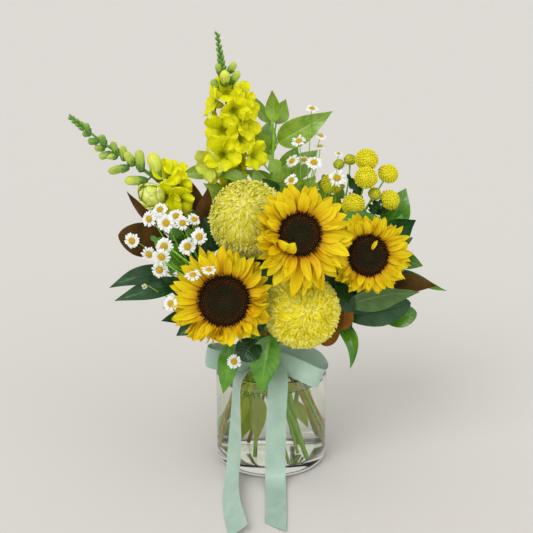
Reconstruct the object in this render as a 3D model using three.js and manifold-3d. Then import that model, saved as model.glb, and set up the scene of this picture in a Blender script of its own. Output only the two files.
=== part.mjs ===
// Sunflowers with chrysanthemums, snapdragons, feverfew, button chrysanthemums and foliage in a glass vase,
// tied with a satin ribbon. Millimetres, +Z up. The origin is the centre of the vase's underside, and the
// bunch faces -Y. Each flower has its own stem, and every stem crosses the tie and stands in the water.
import * as THREE from "three";
import { mergeVertices } from "three/addons/utils/BufferGeometryUtils.js";
import Module from "manifold-3d";

const wasm = await Module();
wasm.setup();

// ---------------------------------------------------------------- driving dimensions

const GAP = 0.35; // air between pieces that only touch
const CLEAR = 0.6; // how far a leaf or ribbon is cut back from what crosses it

const VASE = { radius: 70, height: 130, wall: 4, base: 14, heel: 9, lip: 1.6, segments: 24 };
const WATER = { top: 114, segments: 24 };
const TIE = { z: 152, width: 24, thick: 0.8, radius: 32.4, knot: 9, segments: 18 };

// The stems lie in two rings where the ribbon ties them, and spread so far by the time they reach the bottom.
const WAIST = { z: 150, inner: 12.5, innerSpread: 30, outerSpread: 51 };

// The reference view: a lens of 1230 pixels' focal length, 18.3 degrees down. Places given by column and row
// are pixels of its 533-pixel frame, and depth is the y that they lie at.
const VIEW = { focal: 1230, centre: 266.5, pitch: THREE.MathUtils.degToRad(18.3), eye: [-6, -1445, 735] };

const FINISHES = {
  glass: { color: "#dfe9e4", roughness: 0.05, transparent: true, opacity: 0.35 },
  water: { color: "#dbe6d6", roughness: 0.02, transparent: true, opacity: 0.35 },
  ribbon: { color: "#b2d2c4", roughness: 0.45 },
  petal_gold: { color: "#f4c010", roughness: 0.6 },
  disc_dark: { color: "#2a2010", roughness: 0.9 },
  stem_green: { color: "#4d7c2c", roughness: 0.6 },
  cream_petal: { color: "#eae06a", roughness: 0.65 },
  button_yellow: { color: "#e6d410", roughness: 0.7 },
  snap_yellow: { color: "#ece00c", roughness: 0.55 },
  snap_green: { color: "#6f9a3a", roughness: 0.6 },
  feverfew: { color: "#f4f4ec", roughness: 0.6 },
  leaf_bright: { color: "#4f9422", roughness: 0.4 },
  leaf_dark: { color: "#1f4426", roughness: 0.3 },
  leaf_brown: { color: "#5a4218", roughness: 0.7 },
};

// A stem's faces, its steps above the tie and how much thinner it gets to its head.
const STEM = { sides: 5, steps: 5, taper: 0.15 };

// A sunflower, in its head's own frame: +Z is the way it faces, and the disc's rim is at z = 0. Its petals
// stand on a band round the disc, in a front and a back layer: each layer's length and rise, and how wide
// and thick a petal is.
const HEAD = {
  discDepth: 7, florets: 16, rows: 4, dome: 2.6, floret: 0.9,
  top: -0.8, step: 2.3, bandWidth: 3.2,
  front: { length: 0.88, rise: 7 }, back: { length: 1.02, rise: -1 },
  petalWidth: 0.17, petalThick: 1.3,
  cup: 11, bracts: 9, bractLength: 17,
};

// A chrysanthemum as shares of its radius: the ball that its petals stand on, where that is flat beneath, how
// low it is bare and how high its short inner petals begin, and a petal's width and thickness.
const MUM = {
  core: 0.72, flatAt: -0.78, bareBelow: -0.5, innerAbove: 0.45, petalWidth: 0.1, petalThick: 2.2,
};

// A snapdragon spike: the sleeve that its flowers stand on, and its buds.
const SPIKE = { sleeve: 6, flowerRows: 3, flowerInset: 3.6, budLength: 12, budHeight: 4.6, budWidth: 4.2 };
const spikeTaper = (t) => 0.85 - 0.5 * t;
const GOLDEN_TURN = 2.4;

// The mouth of an open flower: two lobes above, three below, and the dips between them (degrees from the top
// of the flower, radius, and how far forward).
const MOUTH = [
  [0, 8, 12], [38, 13.5, 10], [88, 7, 14], [128, 11, 17],
  [180, 10, 19], [232, 11, 17], [272, 7, 14], [322, 13.5, 10],
];

// A button chrysanthemum as shares of its radius, and the radius below which it gets fewer florets.
const POM = { core: 0.84, below: 0.6, above: 0.9, bareBelow: -0.4, floor: 0.37, small: 9, stalk: 1.1 };

const FEVERFEW_HEAD = { rays: 6, dip: 0.55, eye: 0.36, stalk: 0.8 };

// A leaf is thickest along its rib. Its shape is the share of its half width at each share of its length.
const LEAF = { rib: 0.65, stalk: 1, steps: 4 };
const LEAF_SHAPES = {
  pointed: (t) => 1.3 * Math.sin(Math.PI * t ** 0.75) * (1 - 0.28 * t),
  round: (t) => Math.sin(Math.PI * t ** 1.15) ** 0.6 * 1.02,
};

// The ribbon's routes, from the knot. The tails hang down the glass and lie on along the table.
const RIBBON = {
  half: 12.5,
  rightTail: [[0, -43, 150], [9, -60, 143], [11, -73.6, 133], [9, -74, 100], [7, -74, 60], [5.5, -74.5, 16],
    [5, -84, 1.6], [4, -110, 0.9], [2.5, -150, 0.9], [1, -190, 0.9]],
  leftTail: [[-4, -43, 152], [-26, -58, 147], [-39, -66, 132], [-43, -63, 100], [-45, -64, 60],
    [-47, -68, 16], [-48, -80, 1.6], [-49, -108, 0.9], [-46, -150, 0.9], [-38, -205, 0.9]],
  rightLoop: [[2, -43, 152], [18, -66, 152], [40, -78, 149], [58, -76, 148], [62, -66, 151], [50, -60, 155],
    [28, -54, 157], [3, -44, 155]],
  leftLoop: [[-2, -43, 152], [-20, -62, 156], [-44, -74, 158], [-62, -70, 158], [-66, -60, 160],
    [-52, -56, 162], [-26, -50, 160], [-3, -44, 155]],
};

// Flower heads: where each centre is seen, how deep it lies and which way it faces (degrees from -Y, and up).
// A slot is the ring of the tie that a stem passes and the way it leans there, in degrees from +X. Above the
// tie a stem keeps its own way for about its reach, and it comes into its head along its neck.
const SUNFLOWERS = [
  { name: "sunflower_left", at: [224, 301, -106], azimuth: 2, rise: 19, disc: 29.5, petal: 31, droop: 1,
    count: 28, slot: ["outer", 254], reach: 75, neck: 41, stem: 4.4 },
  { name: "sunflower_middle", at: [300, 234.5, -102], azimuth: 14, rise: 17, disc: 26, petal: 32, droop: 1.3,
    count: 26, slot: ["inner", 290], reach: 62, neck: 76, stem: 4.4 },
  { name: "sunflower_right", at: [368, 255.5, -70], azimuth: 12, rise: 16, disc: 24, petal: 25, droop: 1,
    count: 28, slot: ["outer", 338], reach: 39, neck: 30, stem: 3.9 },
];
const MUMS = [
  { name: "mum_lower", at: [302, 311, -66], azimuth: 6, rise: 20, radius: 45, turn: 0.4,
    slot: ["outer", 296], reach: 24, neck: 22, stem: 3 },
  { name: "mum_upper", at: [245, 217, -42], azimuth: -12, rise: 34, radius: 46, turn: 1.1,
    slot: ["inner", 241], reach: 61, neck: 37, stem: 3 },
];
// Snapdragon spikes: the spine from its lowest flower to its tip, the share of it that has opened, how many
// open flowers it bears and how large, and its rows of buds.
const SNAPDRAGONS = [
  { name: "snapdragon_upright", open: 0.62, flowers: 9, size: 1.5, budRows: 7,
    slot: ["inner", 140], reach: 70, neck: 60, stem: 2.9,
    spine: [[230, 197, 31], [228, 150, 30], [227, 108, 28], [222, 68, 26], [217, 33, 24]] },
  { name: "snapdragon_leaning", open: 0.36, flowers: 5, size: 1.4, budRows: 9,
    slot: ["outer", 166], reach: 63, neck: 71, stem: 2.9,
    spine: [[199, 212, -6], [175, 192, -12], [148, 170, -16], [112, 146, -18], [70, 117, -18]] },
];
// Button chrysanthemums: column, row, depth and radius of each pom on the one spray.
const BUTTONS = {
  name: "button_spray", slot: ["outer", 8], reach: 55, neck: 25, stem: 2.4, end: [352, 232, 8],
  poms: [
    [366.5, 160, 9, 14.8], [366, 178, -14, 14.6], [388, 174, 12, 13], [374.5, 194, -8, 8.5],
    [389.5, 200, -4, 13], [353.4, 205, -16, 14.6], [339, 164.5, 34, 7.4], [350, 160, 36, 8],
    [332, 184, 10, 14],
  ],
};
// Feverfew sprays: each head's column, row, depth, radius and the way it faces (degrees from -Y, and up), and
// for a stalk that has to bend round a petal the place that it passes.
const FEVERFEW = [
  { name: "feverfew_left", slot: ["outer", 222], reach: 40, neck: 25, stem: 1.7, end: [186, 262, -58],
    heads: [[149, 219, -62, 9, -20, 15], [166, 223, -74, 10, -5, 15], [132, 241, -66, 9.5, -15, 10],
      [149, 254.5, -74, 10, -15, 5], [164, 246.5, -84, 10, -5, 15], [161.5, 257, -94, 9.5, 0, 0],
      [159.5, 270, -84, 10.5, -5, 8], [187.5, 246.5, -88, 10.5, 5, 15], [199, 237, -98, 9.5, 20, 20],
      [176, 216, -62, 9, 10, 40], [182.5, 223, -72, 8.5, 10, 20], [160, 209.5, -52, 8.5, -10, 40],
      [194, 219.5, -62, 8.5, 30, 45], [193, 275, -122, 9.5, 0, 25, [164, 262, -100]],
      [209, 270, -121, 8.5, 5, 40, [170, 248, -104]]] },
  { name: "feverfew_front", slot: ["inner", 212], reach: 54, neck: 12, stem: 1.6, end: [230, 352, -72],
    heads: [[234, 361.5, -98, 8.6, 5, 10]] },
  { name: "feverfew_side", slot: ["inner", 173], reach: 29, neck: 28, stem: 1.6, end: [176, 292, -72],
    heads: [[170.5, 303.5, -92, 8.5, -10, -10], [144.5, 286.5, -84, 3.4, 0, 0]] },
  { name: "feverfew_top", slot: ["outer", 21], reach: 62, neck: 23, stem: 1.7, end: [306, 214, 2],
    heads: [[312, 108.5, 8, 8, 10, 70], [299, 141, -4, 9, -20, 60], [321, 136, 10, 7.5, 40, 65],
      [320, 146.5, 16, 7.5, 0, 75], [292, 161, 0, 8.5, -40, 40], [304, 160, 10, 7.5, 0, 60],
      [314, 162.5, -16, 10.5, 5, 50], [291.5, 180, -20, 8.5, -20, 40], [337, 178, -14, 10.5, 0, 40],
      [338.5, 153.5, 2, 5, 20, 60, [337, 170, -12]]] },
];
// Leafy stems. A leaf runs from its base to its tip (column, row, depth), so many millimetres wide. face
// turns it about its spine from facing the view, bend bows it and fold raises its halves.
const BRANCHES = [
  { name: "magnolia_left", finish: "leaf_brown", slot: ["outer", 235], reach: 45, neck: 12, stem: 2.6,
    end: [176, 236, -26],
    leaves: [
      { base: [170, 238, -34], tip: [118, 234, -40], width: 36, face: 170, bend: 6, fold: 0.2, round: true },
      { base: [157, 226, -30], tip: [126.5, 191, -26], width: 13, face: 150, bend: 5, fold: 0.35 },
      { base: [203, 222, -8], tip: [169, 163, 12], width: 15, face: 165, bend: -12, fold: 0.3 },
      { base: [201, 230, -30], tip: [208, 187, -22], width: 19, face: 190, bend: 3, fold: 0.25 },
    ] },
  { name: "magnolia_low", finish: "leaf_dark", slot: ["outer", 208], reach: 41, neck: 13, stem: 2.2,
    end: [192, 286, -36],
    leaves: [
      { base: [168, 272, -50], tip: [109, 288, -64], width: 21, face: 20, bend: -10, fold: 0.3 },
      { base: [180, 283, -56], tip: [114, 301, -76], width: 23, face: 12, bend: -7, fold: 0.3 },
      { base: [186, 316, -52], tip: [161, 321, -70], width: 14, face: 10, bend: -4, fold: 0.3 },
    ] },
  { name: "magnolia_right", finish: "leaf_dark", slot: ["outer", 36], reach: 14, neck: 14, stem: 2.7,
    end: [352, 296, -26],
    leaves: [
      { base: [350, 303, -40], tip: [420, 292, -64], width: 27, face: 44, bend: 6, fold: 0.25 },
      { base: [346, 314, -34], tip: [408, 309, -52], width: 34, face: 12, bend: -6, fold: 0.15, round: true },
      { base: [384, 276, -30], tip: [437, 287, -44], width: 24, face: 155, bend: 5, fold: 0.25 },
      { base: [385, 240, -26], tip: [416, 220, -44], width: 30, face: -20, bend: 5, fold: 0.3 },
      { base: [344, 300, -42], tip: [342, 330, -62], width: 22, face: 200, bend: -6, fold: 0.2, round: true },
      { base: [338, 318, -26], tip: [322, 345, -50], width: 22, face: 195, bend: -8, fold: 0.2, round: true },
      { base: [338, 325, -18], tip: [350, 367, -52], width: 12, face: 25, bend: -16, fold: 0.3 },
      { base: [347, 268, -38], tip: [321, 284, -50], width: 22, face: 5, bend: -4, fold: 0.2 },
    ] },
  { name: "lemon_leaf_right", finish: "leaf_bright", slot: ["outer", 355], reach: 47, neck: 22, stem: 2,
    end: [380, 262, -6],
    leaves: [
      { base: [387, 224, -8], tip: [404, 189, -12], width: 27, face: -12, bend: -5, fold: 0.2 },
      { base: [392, 232, -16], tip: [341, 216, -30], width: 24, face: 8, bend: -8, fold: 0.15, round: true },
      { base: [400, 257, -20], tip: [423, 266, -30], width: 18, face: 10, bend: -4, fold: 0.2 },
      { base: [404, 270, -12], tip: [447, 291, -24], width: 12, face: 30, bend: -5, fold: 0.3 },
      { base: [384, 316, -18], tip: [417, 308, -24], width: 27, face: -9, bend: -3, fold: 0.15, round: true },
      { base: [398, 246, -10], tip: [413, 238, -30], width: 12, face: 40, bend: 3, fold: 0.2 },
    ] },
  { name: "lemon_leaf_front", finish: "leaf_bright", slot: ["outer", 283], reach: 30, neck: 33, stem: 2,
    end: [256, 345, -50],
    leaves: [
      { base: [228, 345, -78], tip: [223, 394, -90], width: 23, face: -18, bend: -6, fold: 0.25 },
      { base: [256, 340, -76], tip: [242, 361, -94], width: 32, face: 10, bend: -5, fold: 0.1, round: true },
      { base: [272, 336, -76], tip: [262, 394, -94], width: 34, face: 18, bend: -8, fold: 0.35 },
    ] },
  { name: "greens_top", finish: "leaf_bright", slot: ["inner", 80], reach: 90, neck: 25, stem: 2.2,
    end: [274, 128, 34],
    leaves: [
      { base: [271, 124, 36], tip: [249, 91, 40], width: 16, face: 30, bend: 5, fold: 0.3 },
      { base: [273, 122, 32], tip: [272, 90, 20], width: 17, face: -15, bend: 4, fold: 0.25 },
      { base: [276, 124, 38], tip: [286, 99, 44], width: 21, face: 10, bend: 4, fold: 0.2 },
      { base: [278, 142, 30], tip: [333, 111, 14], width: 30, face: 10, bend: -8, fold: 0.25 },
      { base: [270, 150, 38], tip: [249, 131, 40], width: 21, face: -10, bend: -4, fold: 0.2 },
      { base: [282, 168, 40], tip: [298, 146, 44], width: 20, face: 20, bend: -5, fold: 0.25 },
      { base: [272, 186, 30], tip: [244, 170, 22], width: 18, face: 10, bend: -6, fold: 0.2 },
      { base: [262, 160, 60], tip: [270, 120, 110], width: 26, face: 180, bend: 8, fold: 0.2 },
      { base: [286, 178, 62], tip: [318, 150, 104], width: 26, face: 190, bend: 8, fold: 0.2 },
    ] },
  { name: "greens_left", finish: "leaf_bright", slot: ["outer", 141], reach: 48, neck: 28, stem: 2,
    end: [216, 214, 40],
    leaves: [
      { base: [212, 172, 50], tip: [180, 175, 44], width: 17, face: 10, bend: -4, fold: 0.2 },
      { base: [246, 182, 6], tip: [217, 174, 2], width: 15, face: 25, bend: -6, fold: 0.2 },
      { base: [228, 200, 16], tip: [203, 183, 4], width: 17, face: 0, bend: -4, fold: 0.15 },
      { base: [216, 238, -6], tip: [200, 222, -16], width: 20, face: 0, bend: -4, fold: 0.15 },
      { base: [200, 226, 60], tip: [160, 200, 86], width: 26, face: 170, bend: 8, fold: 0.2 },
      { base: [214, 244, 70], tip: [180, 262, 108], width: 26, face: 160, bend: 8, fold: 0.2 },
    ] },
  { name: "greens_back", finish: "leaf_dark", slot: ["outer", 68], reach: 60, neck: 25, stem: 2.4,
    end: [300, 232, 62],
    leaves: [
      { base: [308, 228, 60], tip: [340, 196, 86], width: 30, face: 175, bend: 10, fold: 0.2 },
      { base: [318, 250, 66], tip: [366, 250, 96], width: 32, face: 185, bend: 10, fold: 0.2 },
      { base: [290, 246, 76], tip: [282, 206, 116], width: 30, face: 180, bend: 8, fold: 0.2 },
      { base: [262, 262, 78], tip: [222, 250, 116], width: 30, face: 175, bend: 8, fold: 0.2 },
      { base: [300, 276, 80], tip: [330, 292, 122], width: 32, face: 180, bend: 8, fold: 0.2 },
      { base: [262, 292, 76], tip: [232, 318, 112], width: 32, face: 180, bend: 8, fold: 0.2 },
    ] },
  { name: "greens_middle", finish: "leaf_dark", slot: ["inner", 332], reach: 60, neck: 25, stem: 1.8,
    end: [272, 262, -24],
    leaves: [
      { base: [272, 252, -48], tip: [269, 283, -62], width: 20, face: 5, bend: -4, fold: 0.15, round: true },
    ] },
];

// ---------------------------------------------------------------- points and frames

const V = (x, y, z) => new THREE.Vector3(x, y, z);
const Z_AXIS = V(0, 0, 1);
const UP_IN_VIEW = V(0, Math.sin(VIEW.pitch), Math.cos(VIEW.pitch));
const INTO_VIEW = V(0, Math.cos(VIEW.pitch), -Math.sin(VIEW.pitch));
const TO_VIEWER = INTO_VIEW.clone().negate();

// The point at that depth which the reference view shows at that column and row.
function seen([column, row, depth]) {
  const ray = V((column - VIEW.centre) / VIEW.focal, 0, 0)
    .addScaledVector(UP_IN_VIEW, (VIEW.centre - row) / VIEW.focal)
    .add(INTO_VIEW);
  const eye = V(...VIEW.eye);
  return eye.addScaledVector(ray, (depth - eye.y) / ray.y);
}

// The direction that is so many degrees round from -Y and so many above the horizon.
function facing(azimuth, rise) {
  const [a, e] = [azimuth, rise].map(THREE.MathUtils.degToRad);
  return V(Math.sin(a) * Math.cos(e), -Math.cos(a) * Math.cos(e), Math.sin(e));
}

// A seeded draw from 0 to 1 (mulberry32), so that every build is alike.
function drawsFrom(seed) {
  let state = seed;
  return () => {
    state = (state + 0x6d2b79f5) | 0;
    let mixed = Math.imul(state ^ (state >>> 15), 1 | state);
    mixed = (mixed + Math.imul(mixed ^ (mixed >>> 7), 61 | mixed)) ^ mixed;
    return ((mixed ^ (mixed >>> 14)) >>> 0) / 4294967296;
  };
}

// ---------------------------------------------------------------- solids

function solidOf(geometry) {
  const bare = geometry.index ? geometry.toNonIndexed() : geometry.clone();
  for (const name of Object.keys(bare.attributes)) if (name !== "position") bare.deleteAttribute(name);
  const merged = mergeVertices(bare, 1e-4);
  return new wasm.Manifold(
    new wasm.Mesh({
      numProp: 3,
      vertProperties: merged.attributes.position.array,
      triVerts: new Uint32Array(merged.index.array),
    }),
  );
}

function geometryOf(solid) {
  const made = solid.getMesh();
  const stride = made.numProp;
  const places = new Float32Array(made.numVert * 3);
  for (let i = 0; i < made.numVert; i++) {
    places.set(made.vertProperties.subarray(i * stride, i * stride + 3), i * 3);
  }
  const geometry = new THREE.BufferGeometry();
  geometry.setAttribute("position", new THREE.BufferAttribute(places, 3));
  geometry.setIndex(new THREE.BufferAttribute(made.triVerts, 1));
  geometry.computeVertexNormals();
  return geometry;
}

const join = (solids) => wasm.Manifold.union(solids);

// The largest body of a solid: what a cut has parted from it is dropped.
function largest(solid) {
  return solid.decompose().reduce((best, body) => (body.volume() > best.volume() ? body : best));
}

// The solid with every vertex pushed out along its mean normal.
function grown(solid, distance) {
  const geometry = geometryOf(solid);
  const { position, normal } = geometry.attributes;
  for (let i = 0; i < position.count; i++) {
    const moved = V().fromBufferAttribute(position, i);
    moved.addScaledVector(V().fromBufferAttribute(normal, i), distance);
    position.setXYZ(i, moved.x, moved.y, moved.z);
  }
  return solidOf(geometry);
}

// A closed skin through rings of points that run counter-clockwise round the way of travel. Rings may
// differ in count, a ring of one point is a tip, and a closed skin runs on from its last ring to its first.
// Quads are split alike on both faces of a blade. drawnAt(row, side) may give rings of four points and a
// tip, and then that face is drawn out through them.
function skin(rings, { drawnAt = () => null, closed = false } = {}) {
  const sides = Math.max(...rings.map((ring) => ring.length));
  const points = [];
  const faces = [];
  const kept = rings.map((ring) => ring.map((point) => points.push(point) - 1));
  const cornerOf = (ring, k) => ring[Math.floor((k * ring.length) / sides) % ring.length];
  const quad = (a, b, c, d, odd) => {
    if (a === b && c === d) return;
    if (a === b) faces.push(a, c, d);
    else if (c === d) faces.push(a, b, c);
    else if (odd) faces.push(a, b, c, a, c, d);
    else faces.push(a, b, d, b, c, d);
  };
  for (let row = 0; row < rings.length - (closed ? 0 : 1); row++) {
    for (let k = 0; k < sides; k++) {
      const [a, b] = [k, k + 1].map((i) => cornerOf(kept[row], i));
      const [d, c] = [k, k + 1].map((i) => cornerOf(kept[(row + 1) % rings.length], i));
      let edge = [a, b, c, d];
      for (const ring of drawnAt(row, k) ?? []) {
        const out = ring.map((point) => points.push(point) - 1);
        edge.forEach((corner, i) => {
          const j = (i + 1) % 4;
          quad(corner, edge[j], out[j % out.length], out[i % out.length], i % 2);
        });
        edge = out;
      }
      if (edge.length === 4) quad(...edge, k % 2);
    }
  }
  if (!closed) {
    const [first, last] = [kept[0], kept[kept.length - 1]];
    for (let k = 1; k + 1 < first.length; k++) faces.push(first[0], first[k + 1], first[k]);
    for (let k = 1; k + 1 < last.length; k++) faces.push(last[0], last[k], last[k + 1]);
  }
  const geometry = new THREE.BufferGeometry().setFromPoints(points);
  geometry.setIndex(faces);
  return geometry;
}

// A turned piece whose profile ([radius, z]) runs from below round the outside. A profile that starts off
// the axis closes on itself.
function turned(profile, sides, drawnAt) {
  const rings = profile.map(([radius, z]) =>
    Array.from({ length: radius === 0 ? 1 : sides }, (_, k) => {
      const turn = (2 * Math.PI * k) / sides;
      return V(radius * Math.cos(turn), radius * Math.sin(turn), z);
    }),
  );
  return skin(rings, { drawnAt, closed: profile[0][0] > 0 });
}

// The four points of a flat blade's section, in the order of a turned skin's faces.
function bladeSection(centre, across, face, halfWidth, thick) {
  const corner = (side, level) =>
    centre.clone().addScaledVector(across, side * halfWidth).addScaledVector(face, (level * thick) / 2);
  return [corner(-1, -1), corner(1, -1), corner(1, 1), corner(-1, 1)];
}

// The rings of a round stalk through stations, each a point, the way that the stalk runs and its radius.
function ringsThrough(stations, sides) {
  const first = stations[0].way;
  let across = (Math.abs(first.z) < 0.9 ? V(0, 0, 1) : V(1, 0, 0)).cross(first);
  return stations.map(({ at, way, radius }) => {
    across = across.clone().addScaledVector(way, -across.dot(way)).normalize();
    const other = way.clone().cross(across);
    return Array.from({ length: sides }, (_, k) => {
      const turn = (2 * Math.PI * k) / sides;
      return at
        .clone()
        .addScaledVector(across, radius * Math.cos(turn))
        .addScaledVector(other, radius * Math.sin(turn));
    });
  });
}

const stalkThrough = (stations, sides) => solidOf(skin(ringsThrough(stations, sides)));

// Stations along a curve, radiusAt giving the radius from 0 to 1 along it.
function stationsOn(curve, radiusAt, steps) {
  return Array.from({ length: steps + 1 }, (_, i) => {
    const t = i / steps;
    return { at: curve.getPointAt(t), way: curve.getTangentAt(t), radius: radiusAt(t) };
  });
}

const stalk = (curve, radiusAt, sides, steps) => stalkThrough(stationsOn(curve, radiusAt, steps), sides);

// ---------------------------------------------------------------- stems

// A stem stands on the vase's bottom, runs straight through its slot in the tie, and then bends to its head.
// Every foot lies to the same side of its slot, as in a spiralled bunch, so that no two stems cross.
function stemOf(item, end, endWay) {
  const [ring, degrees] = item.slot;
  const lean = THREE.MathUtils.degToRad(degrees);
  const onward = V(Math.cos(lean), Math.sin(lean), 0);
  const aside = V(-Math.sin(lean), Math.cos(lean), 0);
  const outer = ring === "outer";
  const slot = aside.multiplyScalar(outer ? TIE.radius - 3 * GAP - item.stem : WAIST.inner).setZ(WAIST.z);
  const foot = slot.clone().addScaledVector(onward, -(outer ? WAIST.outerSpread : WAIST.innerSpread));
  foot.setZ(VASE.base + GAP + 0.4 * item.stem);
  const rising = slot.clone().sub(foot).normalize();
  const bend = new THREE.CubicBezierCurve3(
    slot,
    slot.clone().addScaledVector(rising, item.reach),
    end.clone().addScaledVector(endWay, -item.neck),
    end,
  );
  const straight = (grow) => [
    { at: foot.clone().addScaledVector(rising, -grow), way: rising, radius: item.stem + grow },
    { at: slot, way: rising, radius: item.stem + grow },
  ];
  const bent = stationsOn(bend, (t) => item.stem * (1 - STEM.taper * t), STEM.steps).slice(1);
  return { bend, straight, stations: [...straight(0), ...bent] };
}

const wetStems = [];

function stemSolid(stem) {
  wetStems.push(stalkThrough(stem.straight(GAP), STEM.sides));
  return stalkThrough(stem.stations, STEM.sides);
}

// ---------------------------------------------------------------- sunflower

// The disc: a low bowl with a ring of raised florets round a sunken centre, as relief.
function sunflowerDisc(radius) {
  const { rows, florets, floret, dome, discDepth } = HEAD;
  const ringAt = (r, z) =>
    Array.from({ length: florets }, (_, k) => {
      const turn = (2 * Math.PI * k) / florets;
      return V(r * Math.cos(turn), r * Math.sin(turn), z(k));
    });
  const rings = [ringAt(radius - 2, () => -discDepth), ringAt(radius, () => -1)];
  for (let row = 0; row < rows; row++) {
    const share = 1 - row / rows;
    const height = 1.5 + dome * Math.sin(Math.PI * share) ** 2;
    rings.push(ringAt(radius * share * 0.97, (k) => height + floret * ((k + row) % 2)));
  }
  rings.push([V(0, 0, 1.6)]);
  return skin(rings);
}

// Both layers of petals, drawn out of a band round the disc: the front ones from its upper row of faces and
// the back ones from its lower row, by turns.
function sunflowerPetals(item) {
  const draw = drawsFrom(Math.round(item.disc * 100));
  const { top, step, bandWidth } = HEAD;
  const [inner, outer] = [item.disc + GAP, item.disc + bandWidth];
  const [middle, low] = [top - step, top - 2 * step];
  const profile = [[inner, middle], [outer, low], [outer, middle], [outer, top]];
  const petal = (row, k) => {
    const front = row === 2;
    if (!(front || row === 1) || front !== (k % 2 === 0)) return null;
    const turn = (2 * Math.PI * (k + 0.5)) / item.count;
    const out = V(Math.cos(turn), Math.sin(turn), 0);
    const hanging = Math.max(0, -out.y) * (item.droop - 1);
    const layer = front ? HEAD.front : HEAD.back;
    const length = item.petal * layer.length * (0.9 + 0.2 * draw()) * (1 + hanging);
    const rise = layer.rise + 3 * draw() - 10 * hanging;
    const half = item.petal * HEAD.petalWidth * (0.9 + 0.25 * draw());
    const across = V(-out.y, out.x, 0);
    const root = (front ? top + middle : middle + low) / 2;
    const at = (share, lift) => out.clone().multiplyScalar(outer + length * share).setZ(root + lift);
    const leaning = (angle) => V(0, 0, Math.cos(angle)).addScaledVector(out, -Math.sin(angle));
    return [
      bladeSection(at(0.32, rise * 0.75), across, leaning(0.3), half, HEAD.petalThick),
      bladeSection(at(0.72, rise), across, leaning(0), half * 0.85, 0.85 * HEAD.petalThick),
      [at(1, rise - 2.5)],
    ];
  };
  return turned(profile, item.count, petal);
}

// The green cup behind the disc, with its pointed bracts.
function sunflowerCup(item) {
  const top = -HEAD.discDepth - GAP;
  const bottom = top - HEAD.cup;
  const sides = 2 * HEAD.bracts;
  const rim = item.disc + 1;
  const profile = [[0, bottom], [item.stem * 1.4, bottom], [item.disc * 0.72, bottom + 4]];
  profile.push([rim, top - 2.6], [rim, top], [0, top]);
  const bract = (row, k) => {
    if (row !== 3 || k % 2) return null;
    const turn = (2 * Math.PI * (k + 0.5)) / sides;
    const out = V(Math.cos(turn), Math.sin(turn), 0);
    const across = V(-out.y, out.x, 0);
    const at = (reach, z) => out.clone().multiplyScalar(rim + reach).setZ(z);
    const middle = at(0.4 * HEAD.bractLength, top - 2.5);
    return [bladeSection(middle, across, Z_AXIS, 5, 1.2), [at(HEAD.bractLength, top - 7)]];
  };
  return turned(profile, sides, bract);
}

// ---------------------------------------------------------------- chrysanthemum

// In the head's own frame: +Z is the way it faces, and the ball's centre is the origin. Every face of a ball
// is drawn out into a petal that curls towards the middle of the flower.
function mumHead(item) {
  const draw = drawsFrom(item.radius);
  const core = item.radius * MUM.core;
  const ball = new THREE.IcosahedronGeometry(core, 2);
  ball.rotateX(item.turn).rotateZ(item.turn);
  for (const name of ["normal", "uv"]) ball.deleteAttribute(name);
  const { attributes, index } = mergeVertices(ball, 1e-3);
  const { position } = attributes;
  const points = Array.from({ length: position.count }, (_, i) => V().fromBufferAttribute(position, i));
  const outward = points.map((point) => point.clone().normalize());
  for (const point of points) point.z = Math.max(point.z, MUM.flatAt * core);
  const faces = [];
  for (let f = 0; f < index.count; f += 3) {
    let base = [0, 1, 2].map((i) => index.getX(f + i));
    const out = base.reduce((sum, i) => sum.add(outward[i]), V()).normalize();
    const height = out.z;
    if (height < MUM.bareBelow) {
      faces.push(...base);
      continue;
    }
    const inward = Z_AXIS.clone().addScaledVector(out, -height).normalize();
    const side = inward.clone().cross(out);
    const reach = item.radius * (0.95 + 0.08 * draw()) * (height < 0.2 ? 1 : 0.97);
    const fromAxis = Math.sqrt(1 - height * height) * reach;
    const curl = Math.min(5 + 5 * height, 0.72 * fromAxis);
    const tip = out.clone().multiplyScalar(reach).addScaledVector(inward, curl);
    if (height > MUM.innerAbove) {
      const peak = points.push(tip) - 1;
      for (let k = 0; k < 3; k++) faces.push(base[k], base[(k + 1) % 3], peak);
      continue;
    }
    const middle = out.clone().multiplyScalar(core + 0.55 * (reach - core));
    middle.addScaledVector(inward, curl * 0.22);
    const angleOf = (i) => {
      const from = outward[i].clone().sub(out);
      return Math.atan2(from.dot(inward), from.dot(side));
    };
    const first = base.reduce((best, i) => (Math.abs(angleOf(i)) < Math.abs(angleOf(best)) ? i : best));
    while (base[0] !== first) base = [base[1], base[2], base[0]];
    const half = item.radius * MUM.petalWidth;
    const section = [
      middle.clone().addScaledVector(side, half),
      middle.clone().addScaledVector(side, -half),
      middle.clone().addScaledVector(inward, -MUM.petalThick),
    ].map((point) => points.push(point) - 1);
    const peak = points.push(tip) - 1;
    for (let k = 0; k < 3; k++) {
      const next = (k + 1) % 3;
      faces.push(base[k], base[next], section[next], base[k], section[next], section[k]);
      faces.push(section[k], section[next], peak);
    }
  }
  const geometry = new THREE.BufferGeometry().setFromPoints(points);
  geometry.setIndex(faces);
  return geometry;
}

// ---------------------------------------------------------------- snapdragon

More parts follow.
